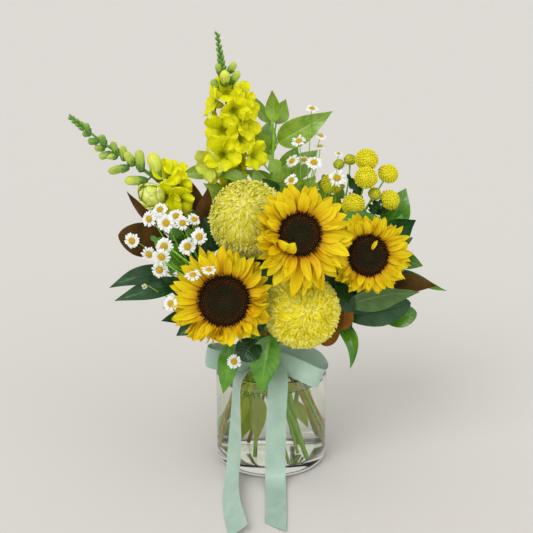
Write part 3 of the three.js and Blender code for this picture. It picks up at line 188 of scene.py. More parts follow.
# Leafy stems. A leaf: base and tip, width, how far its face is turned from the view (degrees), its bow and
# its fold. Some are round, and one bends aside by so much. The last ones of a stem fill gaps in the bunch.
BRANCHES = {
    "magnolia_left": {
        "kind": "brown", "slot": ("outer", 235), "bend": (45, 12), "stem": 2.6, "end": (176, 236, -26),
        "leaves": (
            ((172, 245, -34), (118, 235, -40), 41, 170, 6, 0.2, True),
            ((157, 226, -30), (126.5, 191, -26), 13, 150, 5, 0.35),
            ((205, 222, -30), (169, 163, -2), 16, 168, -20, 0.3),
            ((203, 230, -34), (208, 187, -30), 21, 190, 3, 0.25),
            ((196, 262, -38), (160, 238, -46), 24, 160, 5, 0.2),
            ((192, 248, -30), (178, 206, -30), 20, 170, 5, 0.2))},
    "magnolia_low": {
        "kind": "dark", "slot": ("outer", 208), "bend": (41, 13), "stem": 2.2, "end": (192, 286, -36),
        "leaves": (
            ((168, 272, -50), (109, 288, -64), 21, 20, -10, 0.3),
            ((180, 283, -56), (114, 301, -76), 23, 12, -7, 0.3),
            ((186, 316, -52), (161, 321, -70), 14, 10, -4, 0.3),
            ((204, 276, -52), (168, 262, -62), 26, 10, -5, 0.25),
            ((206, 262, -46), (176, 238, -52), 26, -10, -5, 0.25),
            ((214, 252, -40), (203, 216, -40), 24, 15, -5, 0.2),
            ((196, 296, -56), (160, 276, -66), 22, 5, -4, 0.25),
            ((206, 318, -48), (176, 336, -60), 22, 10, -4, 0.2))},
    "magnolia_right": {
        "kind": "dark", "slot": ("outer", 36), "bend": (14, 14), "stem": 2.7, "end": (352, 296, -26),
        "leaves": (
            ((348, 305, -44), (420, 292, -66), 31, 34, 6, 0.25),
            ((344, 316, -26), (411, 303, -38), 38, 10, -6, 0.15, True),
            ((382, 281, -30), (437, 286, -44), 27, 155, 5, 0.25),
            ((385, 240, -26), (416, 220, -44), 30, -20, 5, 0.3),
            ((344, 300, -42), (342, 330, -62), 22, 200, -6, 0.2, True),
            ((338, 318, -26), (322, 345, -50), 22, 195, -8, 0.2, True),
            ((337, 323, -18), (350, 369, -52), 17, 20, -8, 0.35, False, 15),
            ((347, 268, -38), (321, 284, -50), 22, 5, -4, 0.2),
            ((336, 286, -34), (356, 314, -46), 26, 15, -5, 0.2),
            ((352, 280, -28), (384, 306, -36), 24, 10, -4, 0.2),
            ((338, 300, -30), (352, 330, -40), 20, 10, -4, 0.2),
            ((336, 298, -24), (357, 270, -30), 28, 0, -4, 0.2))},
    "lemon_leaf_right": {
        "kind": "bright", "slot": ("outer", 355), "bend": (47, 22), "stem": 2, "end": (380, 262, -6),
        "leaves": (
            ((388, 226, 8), (406, 188, 14), 33, 0, -5, 0.15),
            ((392, 232, -16), (341, 216, -30), 24, 8, -8, 0.15, True),
            ((400, 257, -20), (423, 266, -30), 18, 10, -4, 0.2),
            ((404, 270, -12), (447, 291, -24), 12, 30, -5, 0.3),
            ((384, 320, -18), (417, 313, -24), 28, -9, -3, 0.15, True),
            ((398, 246, -10), (413, 238, -30), 12, 40, 3, 0.2),
            ((350, 236, 26), (326, 190, 30), 24, 0, -4, 0.2),
            ((370, 240, -16), (362, 208, -22), 26, 10, -4, 0.2),
            ((392, 236, -6), (402, 214, -8), 22, 10, -4, 0.2))},
    "lemon_leaf_front": {
        "kind": "bright", "slot": ("outer", 283), "bend": (30, 33), "stem": 2, "end": (256, 345, -50),
        "leaves": (
            ((228, 345, -78), (223, 394, -90), 23, -18, -6, 0.25),
            ((256, 340, -76), (242, 361, -94), 32, 10, -5, 0.1, True),
            ((272, 336, -76), (262, 394, -94), 34, 18, -8, 0.35))},
    "greens_top": {
        "kind": "young", "slot": ("inner", 80), "bend": (90, 25), "stem": 2.2, "end": (274, 128, 34),
        "leaves": (
            ((271, 124, 36), (249, 91, 40), 16, 30, 5, 0.3),
            ((273, 122, 32), (272, 90, 20), 17, -15, 4, 0.25),
            ((276, 124, 38), (286, 99, 44), 21, 10, 4, 0.2),
            ((278, 142, 30), (333, 111, 14), 30, 10, -8, 0.25),
            ((270, 150, 38), (249, 131, 40), 21, -10, -4, 0.2),
            ((282, 168, 40), (298, 146, 44), 20, 20, -5, 0.25),
            ((272, 186, 30), (244, 170, 22), 18, 10, -6, 0.2),
            ((262, 160, 60), (270, 120, 110), 26, 180, 8, 0.2),
            ((286, 178, 62), (318, 150, 104), 26, 190, 8, 0.2),
            ((276, 196, 20), (288, 160, 16), 22, 10, -4, 0.2),
            ((280, 206, 10), (316, 176, 8), 24, 5, -4, 0.2),
            ((264, 200, 16), (254, 166, 22), 20, 0, -4, 0.2))},
    "greens_left": {
        "kind": "young", "slot": ("outer", 141), "bend": (48, 28), "stem": 2, "end": (216, 214, 40),
        "leaves": (
            ((212, 172, 50), (180, 175, 44), 17, 10, -4, 0.2),
            ((246, 182, 6), (217, 174, 2), 15, 25, -6, 0.2),
            ((228, 200, 16), (203, 183, 4), 17, 0, -4, 0.15),
            ((216, 238, -6), (200, 222, -16), 20, 0, -4, 0.15),
            ((200, 226, 60), (160, 200, 86), 26, 170, 8, 0.2),
            ((214, 244, 70), (180, 262, 108), 26, 160, 8, 0.2),
            ((222, 226, 10), (196, 206, 6), 22, 5, -4, 0.2),
            ((250, 392, -20), (237, 432, -34), 19, 20, -5, 0.2),
            ((254, 388, 8), (243, 440, -6), 24, -10, -5, 0.2),
            ((262, 392, -12), (259, 438, -24), 17, 10, -4, 0.2),
            ((286, 394, 10), (300, 424, 0), 12, -20, -4, 0.2))},
    "greens_back": {
        "kind": "dark", "slot": ("outer", 68), "bend": (60, 25), "stem": 2.4, "end": (300, 232, 62),
        "leaves": (
            ((308, 228, 60), (340, 196, 86), 30, 175, 10, 0.2),
            ((318, 250, 66), (366, 250, 96), 32, 185, 10, 0.2),
            ((290, 246, 76), (282, 206, 116), 30, 180, 8, 0.2),
            ((262, 262, 78), (222, 250, 116), 30, 175, 8, 0.2),
            ((300, 276, 80), (330, 292, 122), 32, 180, 8, 0.2),
            ((262, 292, 76), (232, 318, 112), 32, 180, 8, 0.2),
            ((286, 262, 50), (262, 236, 92), 28, 178, 8, 0.2),
            ((306, 262, 52), (346, 276, 88), 28, 182, 8, 0.2),
            ((276, 232, 56), (300, 182, 84), 26, 180, 8, 0.2),
            ((252, 276, 48), (206, 282, 80), 28, 176, 8, 0.2),
            ((282, 300, 44), (276, 338, 78), 30, 180, 8, 0.2),
            ((316, 286, 48), (356, 316, 78), 28, 184, 8, 0.2),
            ((258, 238, 54), (236, 196, 78), 26, 176, 8, 0.2),
            ((304, 236, 50), (348, 226, 74), 26, 182, 8, 0.2),
            ((262, 306, 40), (234, 330, 66), 24, 176, 6, 0.2),
            ((300, 312, 38), (322, 334, 62), 24, 184, 6, 0.2))},
    "greens_middle": {
        "kind": "dark", "slot": ("inner", 332), "bend": (60, 25), "stem": 1.8, "end": (272, 262, -24),
        "leaves": (
            ((272, 252, -48), (269, 283, -62), 20, 5, -4, 0.15, True),
            ((262, 270, -40), (240, 246, -46), 30, 0, -4, 0.15, True),
            ((256, 290, -44), (262, 262, -50), 26, 10, -4, 0.15),
            ((262, 300, -40), (258, 334, -56), 26, 0, -4, 0.2),
            ((276, 196, -20), (262, 178, -22), 18, 5, -3, 0.2))},
}
# Ragged leaves among the others: base, tip, width and how far the face is turned from the view.
RAGGED = {
    "magnolia_low": (
        ((182, 258, -56), (150, 236, -60), 22, 0), ((196, 246, -50), (186, 226, -56), 18, 10),
        ((188, 252, -44), (168, 224, -48), 22, 5), ((192, 270, -62), (162, 262, -70), 24, 5)),
    "greens_top": (
        ((284, 186, 16), (268, 154, 14), 22, 10), ((296, 200, 6), (296, 170, 2), 20, 0),
        ((308, 204, 2), (314, 176, -4), 18, 20), ((322, 204, 26), (324, 174, 28), 18, -10),
        ((330, 206, 28), (344, 184, 26), 18, 10)),
}
# The places of a leafy stem's finishes: both sides of its own leaves, its green stalks, its bark, its cut
# end, and the other sides that single leaves have.
OWN_UPPER, OWN_UNDER, LEAF_STALK, BARK, LEAFY_CUT, RUST, DARK, BRIGHT, SUEDE = range(9)
# Leaves whose upper or lower side isn't the one of their stem's kind, by stem and number.
LEAF_SIDES = {
    # This leaf gets the paler underside finish on its upper side too, standing for the grey-green sheen on
    # it: painted sheen.
    ("magnolia_right", 0): (OWN_UNDER, OWN_UNDER),
    ("magnolia_right", 2): (OWN_UPPER, SUEDE),
    ("magnolia_right", 4): (OWN_UPPER, RUST),
    ("magnolia_right", 5): (OWN_UPPER, RUST),
    ("magnolia_right", 6): (BRIGHT, OWN_UNDER),
    # This leaf lies in shade and gets the dark finish on its upper side: painted shade.
    ("lemon_leaf_front", 1): (DARK, OWN_UNDER),
}

# ------------ points and lines

SHORTEST = 1e-12
CURVE_STEPS = 80
SPAN_STEPS = 24


def unit(vector):
    """A vector, or each of an array of them, made one long."""
    return vector / np.maximum(np.linalg.norm(vector, axis=-1, keepdims=True), SHORTEST)


def seen(place):
    """The point that the reference view shows at that column and row, at that depth."""
    column, row, depth = place
    ray = INTO_VIEW + UP_IN_VIEW * (CENTRE - row) / FOCAL
    ray[0] += (column - CENTRE) / FOCAL
    return EYE + ray * (depth - EYE[1]) / ray[1]


def facing(azimuth, rise):
    """The way that looks so many degrees round from -Y, and so many up."""
    turn = math.radians(azimuth)
    up = math.radians(rise)
    return np.array([math.sin(turn) * math.cos(up), -math.cos(turn) * math.cos(up), math.sin(up)])


def turned(vector, axis, angle):
    """The vector turned about a unit axis."""
    along = axis * np.sum(vector * axis, axis=-1, keepdims=True)
    angle = np.asarray(angle)[..., None]
    return along + (vector - along) * np.cos(angle) + np.cross(axis, vector) * np.sin(angle)


def towards_viewer(along):
    """The way to the viewer, as far as it stands at right angles to a line."""
    return unit(-INTO_VIEW + along * np.dot(INTO_VIEW, along))


def across_of(way):
    """A basis round a head's way: across it level, and up it."""
    side = unit(np.cross([0, 0, 1], way))
    return side, np.cross(way, side)


def evenly(line, count):
    """So many points spaced evenly along a dense line."""
    length = np.concatenate([[0], np.cumsum(np.linalg.norm(np.diff(line, axis=0), axis=1))])
    at = np.linspace(0, length[-1], count)
    return np.stack([np.interp(at, length, line[:, i]) for i in range(3)], axis=1)


def bezier(points, count):
    """An even line on the curve that the first and last point end, and those between draw aside."""
    order = len(points) - 1
    t = np.linspace(0, 1, CURVE_STEPS)[:, None]
    weights = [math.comb(order, i) * (1 - t) ** (order - i) * t**i for i in range(order + 1)]
    return evenly(sum(w * np.asarray(p, float) for w, p in zip(weights, points)), count)


def through(points, count):
    """An even line through points (a centripetal Catmull-Rom spline)."""
    points = [np.asarray(p, float) for p in points]
    points = [2 * points[0] - points[1], *points, 2 * points[-1] - points[-2]]
    line = []
    for a, b, c, d in zip(points, points[1:], points[2:], points[3:]):
        ta = 0.0
        tb = ta + np.linalg.norm(b - a) ** 0.5
        tc = tb + np.linalg.norm(c - b) ** 0.5
        td = tc + np.linalg.norm(d - c) ** 0.5
        t = np.linspace(tb, tc, SPAN_STEPS, endpoint=False)[:, None]
        ab = ((tb - t) * a + (t - ta) * b) / (tb - ta)
        bc = ((tc - t) * b + (t - tb) * c) / (tc - tb)
        cd = ((td - t) * c + (t - tc) * d) / (td - tc)
        abc = ((tc - t) * ab + (t - ta) * bc) / (tc - ta)
        bcd = ((td - t) * bc + (t - tb) * cd) / (td - tb)
        line.append(((tc - t) * abc + (t - tb) * bcd) / (tc - tb))
    line.append(points[-2][None])
    return evenly(np.concatenate(line), count)


def steadily(line):
    """The way that a line runs at each point, and two directions across that turn as little as can be."""
    way = unit(np.gradient(line, axis=0))
    across = np.cross([0, 0, 1] if abs(way[0][2]) < 0.9 else [1, 0, 0], way[0])
    side = []
    for step in way:
        across = unit(across - step * np.dot(across, step))
        side.append(across)
    side = np.array(side)
    return way, side, np.cross(way, side)


def eased(value, low, high):
    """From 0 at the low value to 1 at the high one, with a soft start and end."""
    share = np.clip((np.asarray(value, float) - low) / (high - low), 0, 1)
    return share * share * (3 - 2 * share)


def ball_profile(radius, height, steps):
    """The profile of a ball from its lowest point, or of one that is flattened to a height."""
    return [(radius * math.sin(a), height * math.cos(a)) for a in np.linspace(math.pi, 0, steps)]


# ------------ meshes

STUD_SIDES = 5
# Points nearer than this are one, shorter edges go (both in metres), and edges from this angle stay sharp.
WELD_WITHIN = 2e-7
NO_EDGE = 1e-8
SHARP_ANGLE = 1.25


class Shape:
    """A mesh in the making. Each point keeps where it grows: along its blade, across it, and its draw."""

    def __init__(self):
        self.points = []
        self.grow = []
        self.quads = []
        self.marks = []
        self.size = 0

    def grids(self, points, across, draws, marks):
        """Many grids alike that close round: points by grid, row and column.

        across gives each column's place on its blade, and marks the finish of each column of faces."""
        count, rows, columns = points.shape[:3]
        grow = np.empty(points.shape)
        grow[..., 0] = np.linspace(0, 1, rows)[None, :, None]
        grow[..., 1] = across
        grow[..., 2] = np.broadcast_to(draws, (count,))[:, None, None]
        index = self.size + np.arange(count * rows * columns).reshape(count, rows, columns)
        beside = np.roll(index, -1, axis=2)
        corners = (index[:, :-1], beside[:, :-1], beside[:, 1:], index[:, 1:])
        self.points.append(points.reshape(-1, 3))
        self.grow.append(grow.reshape(-1, 3))
        self.quads.append(np.stack(corners, axis=-1).reshape(-1, 4))
        self.marks.append(np.broadcast_to(marks, (count, rows - 1, columns)).reshape(-1))
        self.size += count * rows * columns

    def blades(self, lines, faces, halves, lifts, thick, draws, marks=(0, 0), slants=0.0):
        """Petals, leaves or strips along lines, so wide at each station, lifted by lifts off their faces.

        slants, by station, moves the edges on and back along the line, as a slanting cut has it."""
        columns = lifts.shape[-1]
        way = unit(np.gradient(lines, axis=1))
        side = unit(np.cross(faces, way))
        up = np.cross(way, side)
        share = np.linspace(-1, 1, columns)
        top = lines[:, :, None] + side[:, :, None] * (halves[..., None] * share)[..., None]
        top = top + up[:, :, None] * lifts[..., None]
        onward = np.broadcast_to(slants, halves.shape)[..., None] * share
        top = top + way[:, :, None] * onward[..., None]
        body = thick * (1 - share[1:-1] ** 2) * np.minimum(1, halves[..., None])
        body[:, [0, -1]] = 0
        under = top[:, :, 1:-1] - up[:, :, None] * body[..., None]
        ring = np.concatenate([top, under[:, :, ::-1]], axis=2)
        across = np.concatenate([share, share[1:-1][::-1]])
        kinds = [marks[0]] * (columns - 1) + [marks[1]] * (columns - 1)
        self.grids(ring, across, draws, kinds)

    def tube(self, line, radius, sides, mark=0, draw=0.0, end_mark=None):
        """A round stalk along a line, closed at both ends. end_mark is the finish of its first end."""
        _, side, other = steadily(line)
        turn = np.linspace(0, 2 * math.pi, sides, endpoint=False)
        ring = side[:, None] * np.cos(turn)[:, None] + other[:, None] * np.sin(turn)[:, None]
        radius = np.broadcast_to(radius, (len(line),))
        points = line[:, None] + ring * radius[:, None, None]
        pole = [np.repeat(line[i][None, None], sides, axis=1) for i in (0, -1)]
        points = np.concatenate([pole[0], points, pole[1]])
        marks = np.full((1, len(points) - 1, sides), mark)
        if end_mark is not None:
            marks[:, 0] = end_mark
        self.grids(points[None], np.cos(turn), draw, marks)

    def turn(self, profile, sides, centre, way, mark=0, draw=0.0, wave=None):
        """A turned piece about a way through a centre. wave(turn, share) scales its radius."""
        side, up = across_of(way) if abs(way[2]) < 0.99 else (np.array([1.0, 0, 0]), np.array([0, 1.0, 0]))
        profile = np.asarray(profile, float)
        angle = np.linspace(0, 2 * math.pi, sides, endpoint=False)
        spoke = side * np.cos(angle)[:, None] + up * np.sin(angle)[:, None]
        radius = np.repeat(profile[:, :1], sides, axis=1)
        if wave:
            radius = radius * wave(angle[None], np.linspace(0, 1, len(profile))[:, None])
        points = centre + spoke[None] * radius[..., None] + way * profile[:, 1][:, None, None]
        self.grids(points[None], np.cos(angle), draw, mark)

    def studs(self, places, ways, radii, heights, profile, draws, mark=0):
        """Many small turned bumps, of one profile in shares of their radius and height."""
        ways = unit(ways)
        reference = np.where(np.abs(ways[:, 2:]) < 0.9, [[0.0, 0, 1]], [[1.0, 0, 0]])
        side = unit(np.cross(reference, ways))
        other = np.cross(ways, side)
        turn = np.linspace(0, 2 * math.pi, STUD_SIDES, endpoint=False)
        spoke = side[:, None] * np.cos(turn)[:, None] + other[:, None] * np.sin(turn)[:, None]
        profile = np.asarray(profile, float)
        out = np.asarray(radii)[:, None] * profile[:, 0]
        high = np.broadcast_to(heights, (len(places),))[:, None] * profile[:, 1]
        points = places[:, None, None] + spoke[:, None] * out[..., None, None]
        points = points + ways[:, None, None] * high[..., None, None]
        self.grids(points, np.cos(turn), draws, mark)

    def place(self, name, finishes, slot, *nodes):
        """The finished mesh, riding on the root body and standing for those nodes of the frame."""
        mesh = bpy.data.meshes.new(name)
        points = np.concatenate(self.points) * MM
        points[:, 2] = np.maximum(points[:, 2], 0.0)
        mesh.from_pydata(points.tolist(), [], np.concatenate(self.quads).tolist())
        grow = mesh.attributes.new("grow", "FLOAT_VECTOR", "POINT")
        grow.data.foreach_set("vector", np.concatenate(self.grow).astype(np.float32).ravel())
        mesh.polygons.foreach_set("material_index", np.concatenate(self.marks).astype(np.int32))
        for maker in finishes:
            mesh.materials.append(finish(maker))
        welded = bmesh.new()
        welded.from_mesh(mesh)
        bmesh.ops.remove_doubles(welded, verts=welded.verts, dist=WELD_WITHIN)
        bmesh.ops.dissolve_degenerate(welded, edges=welded.edges, dist=NO_EDGE)
        bmesh.ops.recalc_face_normals(welded, faces=welded.faces)
        welded.to_mesh(mesh)
        welded.free()
        mesh.shade_smooth()
        mesh.set_sharp_from_angle(angle=SHARP_ANGLE)
        piece = bpy.data.objects.new(name, mesh)
        bpy.context.scene.collection.objects.link(piece)
        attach(piece, "root")
        if nodes:
            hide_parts(*nodes)
        return piece


# ------------ finishes


def tint(code):
    """A colour written in hex as the linear values that a shader takes."""
    parts = [int(code[i : i + 2], 16) / 255 for i in (1, 3, 5)]
    return (*(c / 12.92 if c <= 0.04045 else ((c + 0.055) / 1.055) ** 2.4 for c in parts), 1.0)


def opaque(value):
    """A shader's colour from hex, from a shade of grey or from the red, green and blue of a setting."""
    if isinstance(value, str):
        return tint(value)
    if isinstance(value, float):
        return (value, value, value, 1.0)
    return (*value, 1.0)


class Finish:
    """A material in the making: its shader, and the nodes that feed it."""

    def __init__(self, name, **sockets):
        self.material = bpy.data.materials.new(name)
        self.material.use_nodes = True
        self.tree = self.material.node_tree
        self.shader = self.tree.nodes["Principled BSDF"]
        self.relief = None
        for label, value in sockets.items():
            self.shader.inputs[label.replace("_", " ")].default_value = value

    def node(self, kind, inputs, **settings):
        """A new node of a kind, with its settings, and with values or other nodes at its inputs."""
        made = self.tree.nodes.new("ShaderNode" + kind)
        for name, value in settings.items():
            setattr(made, name, value)
        for label, value in inputs.items():
            self.feed(made.inputs[label], value)
        return made

    def feed(self, socket, value):
        """Links an output to a socket, or sets a plain value on it."""
        if isinstance(value, bpy.types.NodeSocket):
            self.tree.links.new(value, socket)
        else:
            socket.default_value = value

    def grow(self):
        """Where a point grows: along its blade, how far across it from the middle, and its draw."""
        place = self.node("Attribute", {}, attribute_name="grow").outputs["Vector"]
        along, across, draw = self.node("SeparateXYZ", {0: place}).outputs
        return along, across, draw

    def math(self, operation, first, second=0.0):
        """What an operation makes of one or two values."""
        return self.node("Math", {0: first, 1: second}, operation=operation).outputs[0]

    def ramp(self, factor, *stops):
        """A colour, or a shade of grey, that runs through stops."""
        made = self.node("ValToRGB", {"Fac": factor})
        keys = made.color_ramp.elements
        while len(keys) < len(stops):
            keys.new(0.5)
        for key, (at, colour) in zip(keys, stops):
            key.position = at
            key.color = opaque(colour)
        return made.outputs["Color"]

    def mix(self, factor, first, second, blend="MIX"):
        """Two colours mixed, or multiplied where blend says so."""
        made = self.node("MixRGB", {"Fac": factor, "Color1": first, "Color2": second}, blend_type=blend)
        return made.outputs[0]

    def spot(self, scale, detail=2.0, squash=(1, 1, 1), vector=None):
        """Soft noise, by default fixed to the object, of so many spots a metre."""
        if vector is None:
            vector = self.node("TexCoord", {}).outputs["Object"]
        if squash != (1, 1, 1):
            vector = self.node("Mapping", {"Vector": vector, "Scale": squash}).outputs[0]
        return self.node("TexNoise", {"Vector": vector, "Scale": scale, "Detail": detail}).outputs["Fac"]

    def streaks(self, number, stretch=1.5):
        """Fine streaks that run along a blade, other ones on each."""
        along, across, draw = self.grow()
        inputs = {0: self.math("MULTIPLY", along, stretch), 1: self.math("MULTIPLY", across, number),
                  2: self.math("MULTIPLY", draw, 57.0)}
        vector = self.node("CombineXYZ", inputs).outputs[0]
        return self.spot(1.0, vector=vector)

    def colour(self, value):
        """Gives the shader its colour."""
        self.feed(self.shader.inputs["Base Color"], value)
        return self

    def rough(self, factor, low, high):
        """Makes the roughness run between two values."""
        made = self.node("MapRange", {"Value": factor, "To Min": low, "To Max": high})
        self.feed(self.shader.inputs["Roughness"], made.outputs[0])
        return self

    def bump(self, height, depth):
        """Relief so many millimetres deep."""
        inputs = {"Height": height, "Distance": depth * MM}
        if self.relief is not None:
            inputs["Normal"] = self.relief
        self.relief = self.node("Bump", inputs).outputs[0]
        self.feed(self.shader.inputs["Normal"], self.relief)
        return self


def make_sunflower_petal():
    """Golden yellow, orange-brown at the root, with long fine ribs."""
    made = Finish("sunflower petal", Roughness=0.6, Specular_IOR_Level=0.15)
    along, across, draw = made.grow()
    # Both ramps run orange-brown towards the root: painted shade where the petals crowd over each other.
    golden = made.ramp(along, (0.0, "#a05602"), (0.12, "#cc8a02"), (0.3, "#e0b004"), (0.6, "#eac406"),
                       (1.0, "#f0d60a"))
    lemon = made.ramp(along, (0.0, "#b06c04"), (0.14, "#daaa06"), (0.4, "#ecce0a"), (1.0, "#f4e014"))
    colour = made.mix(draw, golden, lemon)
    # The ribs darken the colour in fine streaks: painted shade in their grooves.
    ribs = made.streaks(7.0)
    shade = made.ramp(ribs, (0.3, 0.56), (0.48, 0.96), (0.75, 1.08))
    colour = made.mix(0.8, colour, shade, "MULTIPLY")
    rim = made.math("POWER", made.math("ABSOLUTE", across), 6.0)
    colour = made.mix(made.math("MULTIPLY", rim, 0.35), colour, tint("#fce020"))
    return made.colour(colour).bump(ribs, 0.8).rough(ribs, 0.42, 0.62)


def make_disc_floret():
    """Dark florets: black-green in the middle, then a brown ring, and almost black at the rim."""
    made = Finish("disc florets", Roughness=0.9, Specular_IOR_Level=0.1)
    along, _, draw = made.grow()
    ring = made.ramp(draw, (0.0, "#34351c"), (0.5, "#2f301c"), (0.66, "#3a301a"), (0.78, "#5c3d1c"),
                     (0.86, "#4a2e16"), (0.94, "#33200f"), (1.0, "#2a190c"))
    tips = made.ramp(along, (0.0, 0.45), (0.6, 1.0), (1.0, 1.5))
    spots = made.ramp(made.spot(900.0), (0.35, 0.6), (0.7, 1.35))
    return made.colour(made.mix(1.0, made.mix(1.0, ring, tips, "MULTIPLY"), spots, "MULTIPLY"))


def in_water(made, colour, painted_light_under_water):
    """A stalk's colour, with a brighter one below the water's surface: painted light that makes up for the
    light that the glass and water take.
    """
    height = made.node("SeparateXYZ", {0: made.node("TexCoord", {}).outputs["Object"]}).outputs[2]
    below = made.ramp(made.math("MULTIPLY", height, 1 / MM / WATER_TOP), (0.94, 1.0), (1.0, 0.0))
    return made.mix(below, colour, painted_light_under_water)


def make_stem_green():
    """Fresh green stalk, paler in streaks."""
    made = Finish("green stalk", Roughness=0.45, Subsurface_Weight=0.08, Subsurface_Scale=0.002)
    grain = made.spot(160.0, 3.0, (4, 4, 0.4))
    colour = made.ramp(grain, (0.3, "#6ea41e"), (0.5, "#8cc634"), (0.72, "#b0dc58"))
    # Brighter below the water: painted light that makes up for the light that the glass and water take.
    painted_light_under_water = made.ramp(grain, (0.3, "#8ec812"), (0.5, "#b0e226"), (0.72, "#d4f26a"))
    return made.colour(in_water(made, colour, painted_light_under_water)).bump(grain, 0.3).rough(grain, 0.38, 0.6)


def make_stem_wood():
    """Young bark: olive brown with paler patches."""
    made = Finish("young bark", Roughness=0.7)
    grain = made.spot(120.0, 4.0, (3, 3, 0.6))
    colour = made.ramp(grain, (0.3, "#6a4c1a"), (0.5, "#94742c"), (0.7, "#b09a4c"))
    # Brighter below the water: painted light that makes up for the light that the glass and water take.
    painted_light_under_water = made.ramp(grain, (0.3, "#b08418"), (0.5, "#d2b23c"), (0.7, "#dcd070"))
    return made.colour(in_water(made, colour, painted_light_under_water)).bump(grain, 0.5)


def make_stem_cut():
    """The pale pith of a cut end."""
    made = Finish("cut end", Roughness=0.6)
    return made.colour(made.ramp(made.spot(400.0), (0.3, "#b9c27c"), (0.7, "#e3e4b4")))


def make_calyx():
    """The hairy green bracts behind a head."""
    made = Finish("bracts", Roughness=0.6, Sheen_Weight=0.3)
    along, _, _ = made.grow()
    colour = made.ramp(along, (0.0, "#3f6b1c"), (0.6, "#5c8c2c"), (1.0, "#7ca53f"))
    ribs = made.streaks(5.0)
    shade = made.ramp(ribs, (0.3, 0.7), (0.7, 1.15))
    return made.colour(made.mix(0.8, colour, shade, "MULTIPLY")).bump(ribs, 0.4)


def petal_of_mum(name, deep, middle, tip):
    """A chrysanthemum petal of three colours from deep in the head to its tip."""
    made = Finish(name, Roughness=0.65, Specular_IOR_Level=0.12)
    along, _, draw = made.grow()
    # The deep colour is partly the petals' own greener base and partly painted shade deep in the head.
    colour = made.ramp(along, (0.45, deep), (0.78, middle), (0.97, tip))
    shade = made.ramp(draw, (0.0, 0.84), (1.0, 1.08))
    colour = made.mix(0.8, colour, shade, "MULTIPLY")
    ribs = made.streaks(3.0, 0.8)
    return made.colour(colour).bump(ribs, 0.25)


def make_mum_cream():
    """Pale lemon cream, greener deep down."""
    return petal_of_mum("cream chrysanthemum", "#cac21e", "#ded640", "#f2ee90")


def make_mum_lemon():
    """Lemon yellow with pale tips, olive deep down."""
    return petal_of_mum("lemon chrysanthemum", "#dcca08", "#eee022", "#f8f27c")


def make_snap_petal():
    """Velvety lime yellow, greener in the throat, and cream on the florets with a high draw."""
    made = Finish("snapdragon petal", Roughness=0.6, Specular_IOR_Level=0.2, Subsurface_Weight=0.15,
                  Subsurface_Scale=0.002, Subsurface_Radius=(1.0, 1.0, 0.05))
    along, _, draw = made.grow()
    # Both ramps run darker and greener towards the root of each lobe: partly the throat's own green, partly
    # painted shade deep in the floret.
    lime = made.ramp(along, (0.0, "#aab206"), (0.25, "#d2d604"), (0.6, "#e4e402"), (0.9, "#ecea06"),
                     (1.0, "#f6f440"))
    pale = made.ramp(along, (0.0, "#bccc40"), (0.5, "#ccda4c"), (0.85, "#dae464"), (1.0, "#eef2a4"))
    colour = made.mix(made.ramp(draw, (0.7, 0.0), (0.95, 1.0)), lime, pale)
    veins = made.spot(260.0, 3.0)
    shade = made.ramp(veins, (0.3, 0.86), (0.7, 1.06))
    return made.colour(made.mix(0.9, colour, shade, "MULTIPLY")).bump(veins, 0.35)


def make_snap_bud():
    """Closed buds: green at the base and lime at the tip; small ones are all green."""
    made = Finish("snapdragon bud", Roughness=0.5, Subsurface_Weight=0.15, Subsurface_Scale=0.002)
    along, _, draw = made.grow()
    green = made.ramp(along, (0.0, "#2f6c1c"), (0.5, "#4f9030"), (0.85, "#6ea63a"), (1.0, "#9cc24c"))
    lime = made.ramp(along, (0.0, "#7aa82e"), (0.35, "#c0d24c"), (0.75, "#d8e45c"), (1.0, "#e4e640"))
    colour = made.mix(draw, green, lime)
    folds = made.streaks(3.0, 2.5)
    # Darker streaks along the folds and lighter ones between them: painted shade in the creases and painted
    # light on the ridges.
    shade = made.ramp(folds, (0.32, 0.7), (0.5, 0.95), (0.7, 1.12))
    return made.colour(made.mix(0.9, colour, shade, "MULTIPLY")).bump(folds, 0.6)


def make_snap_stem():
    """The spike's green stalk and sepals."""
    made = Finish("snapdragon stalk", Roughness=0.5)
    grain = made.spot(180.0, 3.0, (3, 3, 0.8))
    colour = made.ramp(grain, (0.3, "#3c6b24"), (0.7, "#6c9a3c"))
    # The brighter green below the water is painted light that makes up for the light that the glass and
    # water take.
    return made.colour(in_water(made, colour, tint("#94d41c"))).bump(grain, 0.3)


def make_pom_floret():
    """Bright lemon quills with olive depths, and green ones where the draw is high."""
    made = Finish("button floret", Roughness=0.6, Subsurface_Weight=0.1, Subsurface_Scale=0.002)
    along, _, draw = made.grow()
    # Olive towards each quill's root: partly the florets' own colour, partly painted shade in the depths
    # between them.
    colour = made.ramp(along, (0.0, "#ccc008"), (0.35, "#e4d808"), (0.75, "#f6ec0e"), (1.0, "#f2e410"))
    green = made.ramp(along, (0.0, "#6a7a0c"), (0.5, "#a8b420"), (1.0, "#c6c81c"))
    return made.colour(made.mix(draw, colour, green))


def make_ray_white():
    """White rays with faint grooves."""
    made = Finish("white rays", Roughness=0.5, Subsurface_Weight=0.1, Subsurface_Scale=0.001)
    along, _, _ = made.grow()
    ribs = made.streaks(3.0)
    colour = made.ramp(along, (0.0, "#dfe3c8"), (0.3, "#f2f2ea"), (1.0, "#fbfbf8"))
    shade = made.ramp(ribs, (0.3, 0.8), (0.6, 1.0))
    return made.colour(made.mix(0.4, colour, shade, "MULTIPLY")).bump(ribs, 0.2)


def make_eye_yellow():
    """Yolk yellow florets of a daisy's eye."""
    made = Finish("daisy eye", Roughness=0.6)
    along, _, _ = made.grow()
    return made.colour(made.ramp(along, (0.0, "#c08e08"), (0.6, "#e6bc10"), (1.0, "#f4d224")))


SIDE_VEINS = 8.0


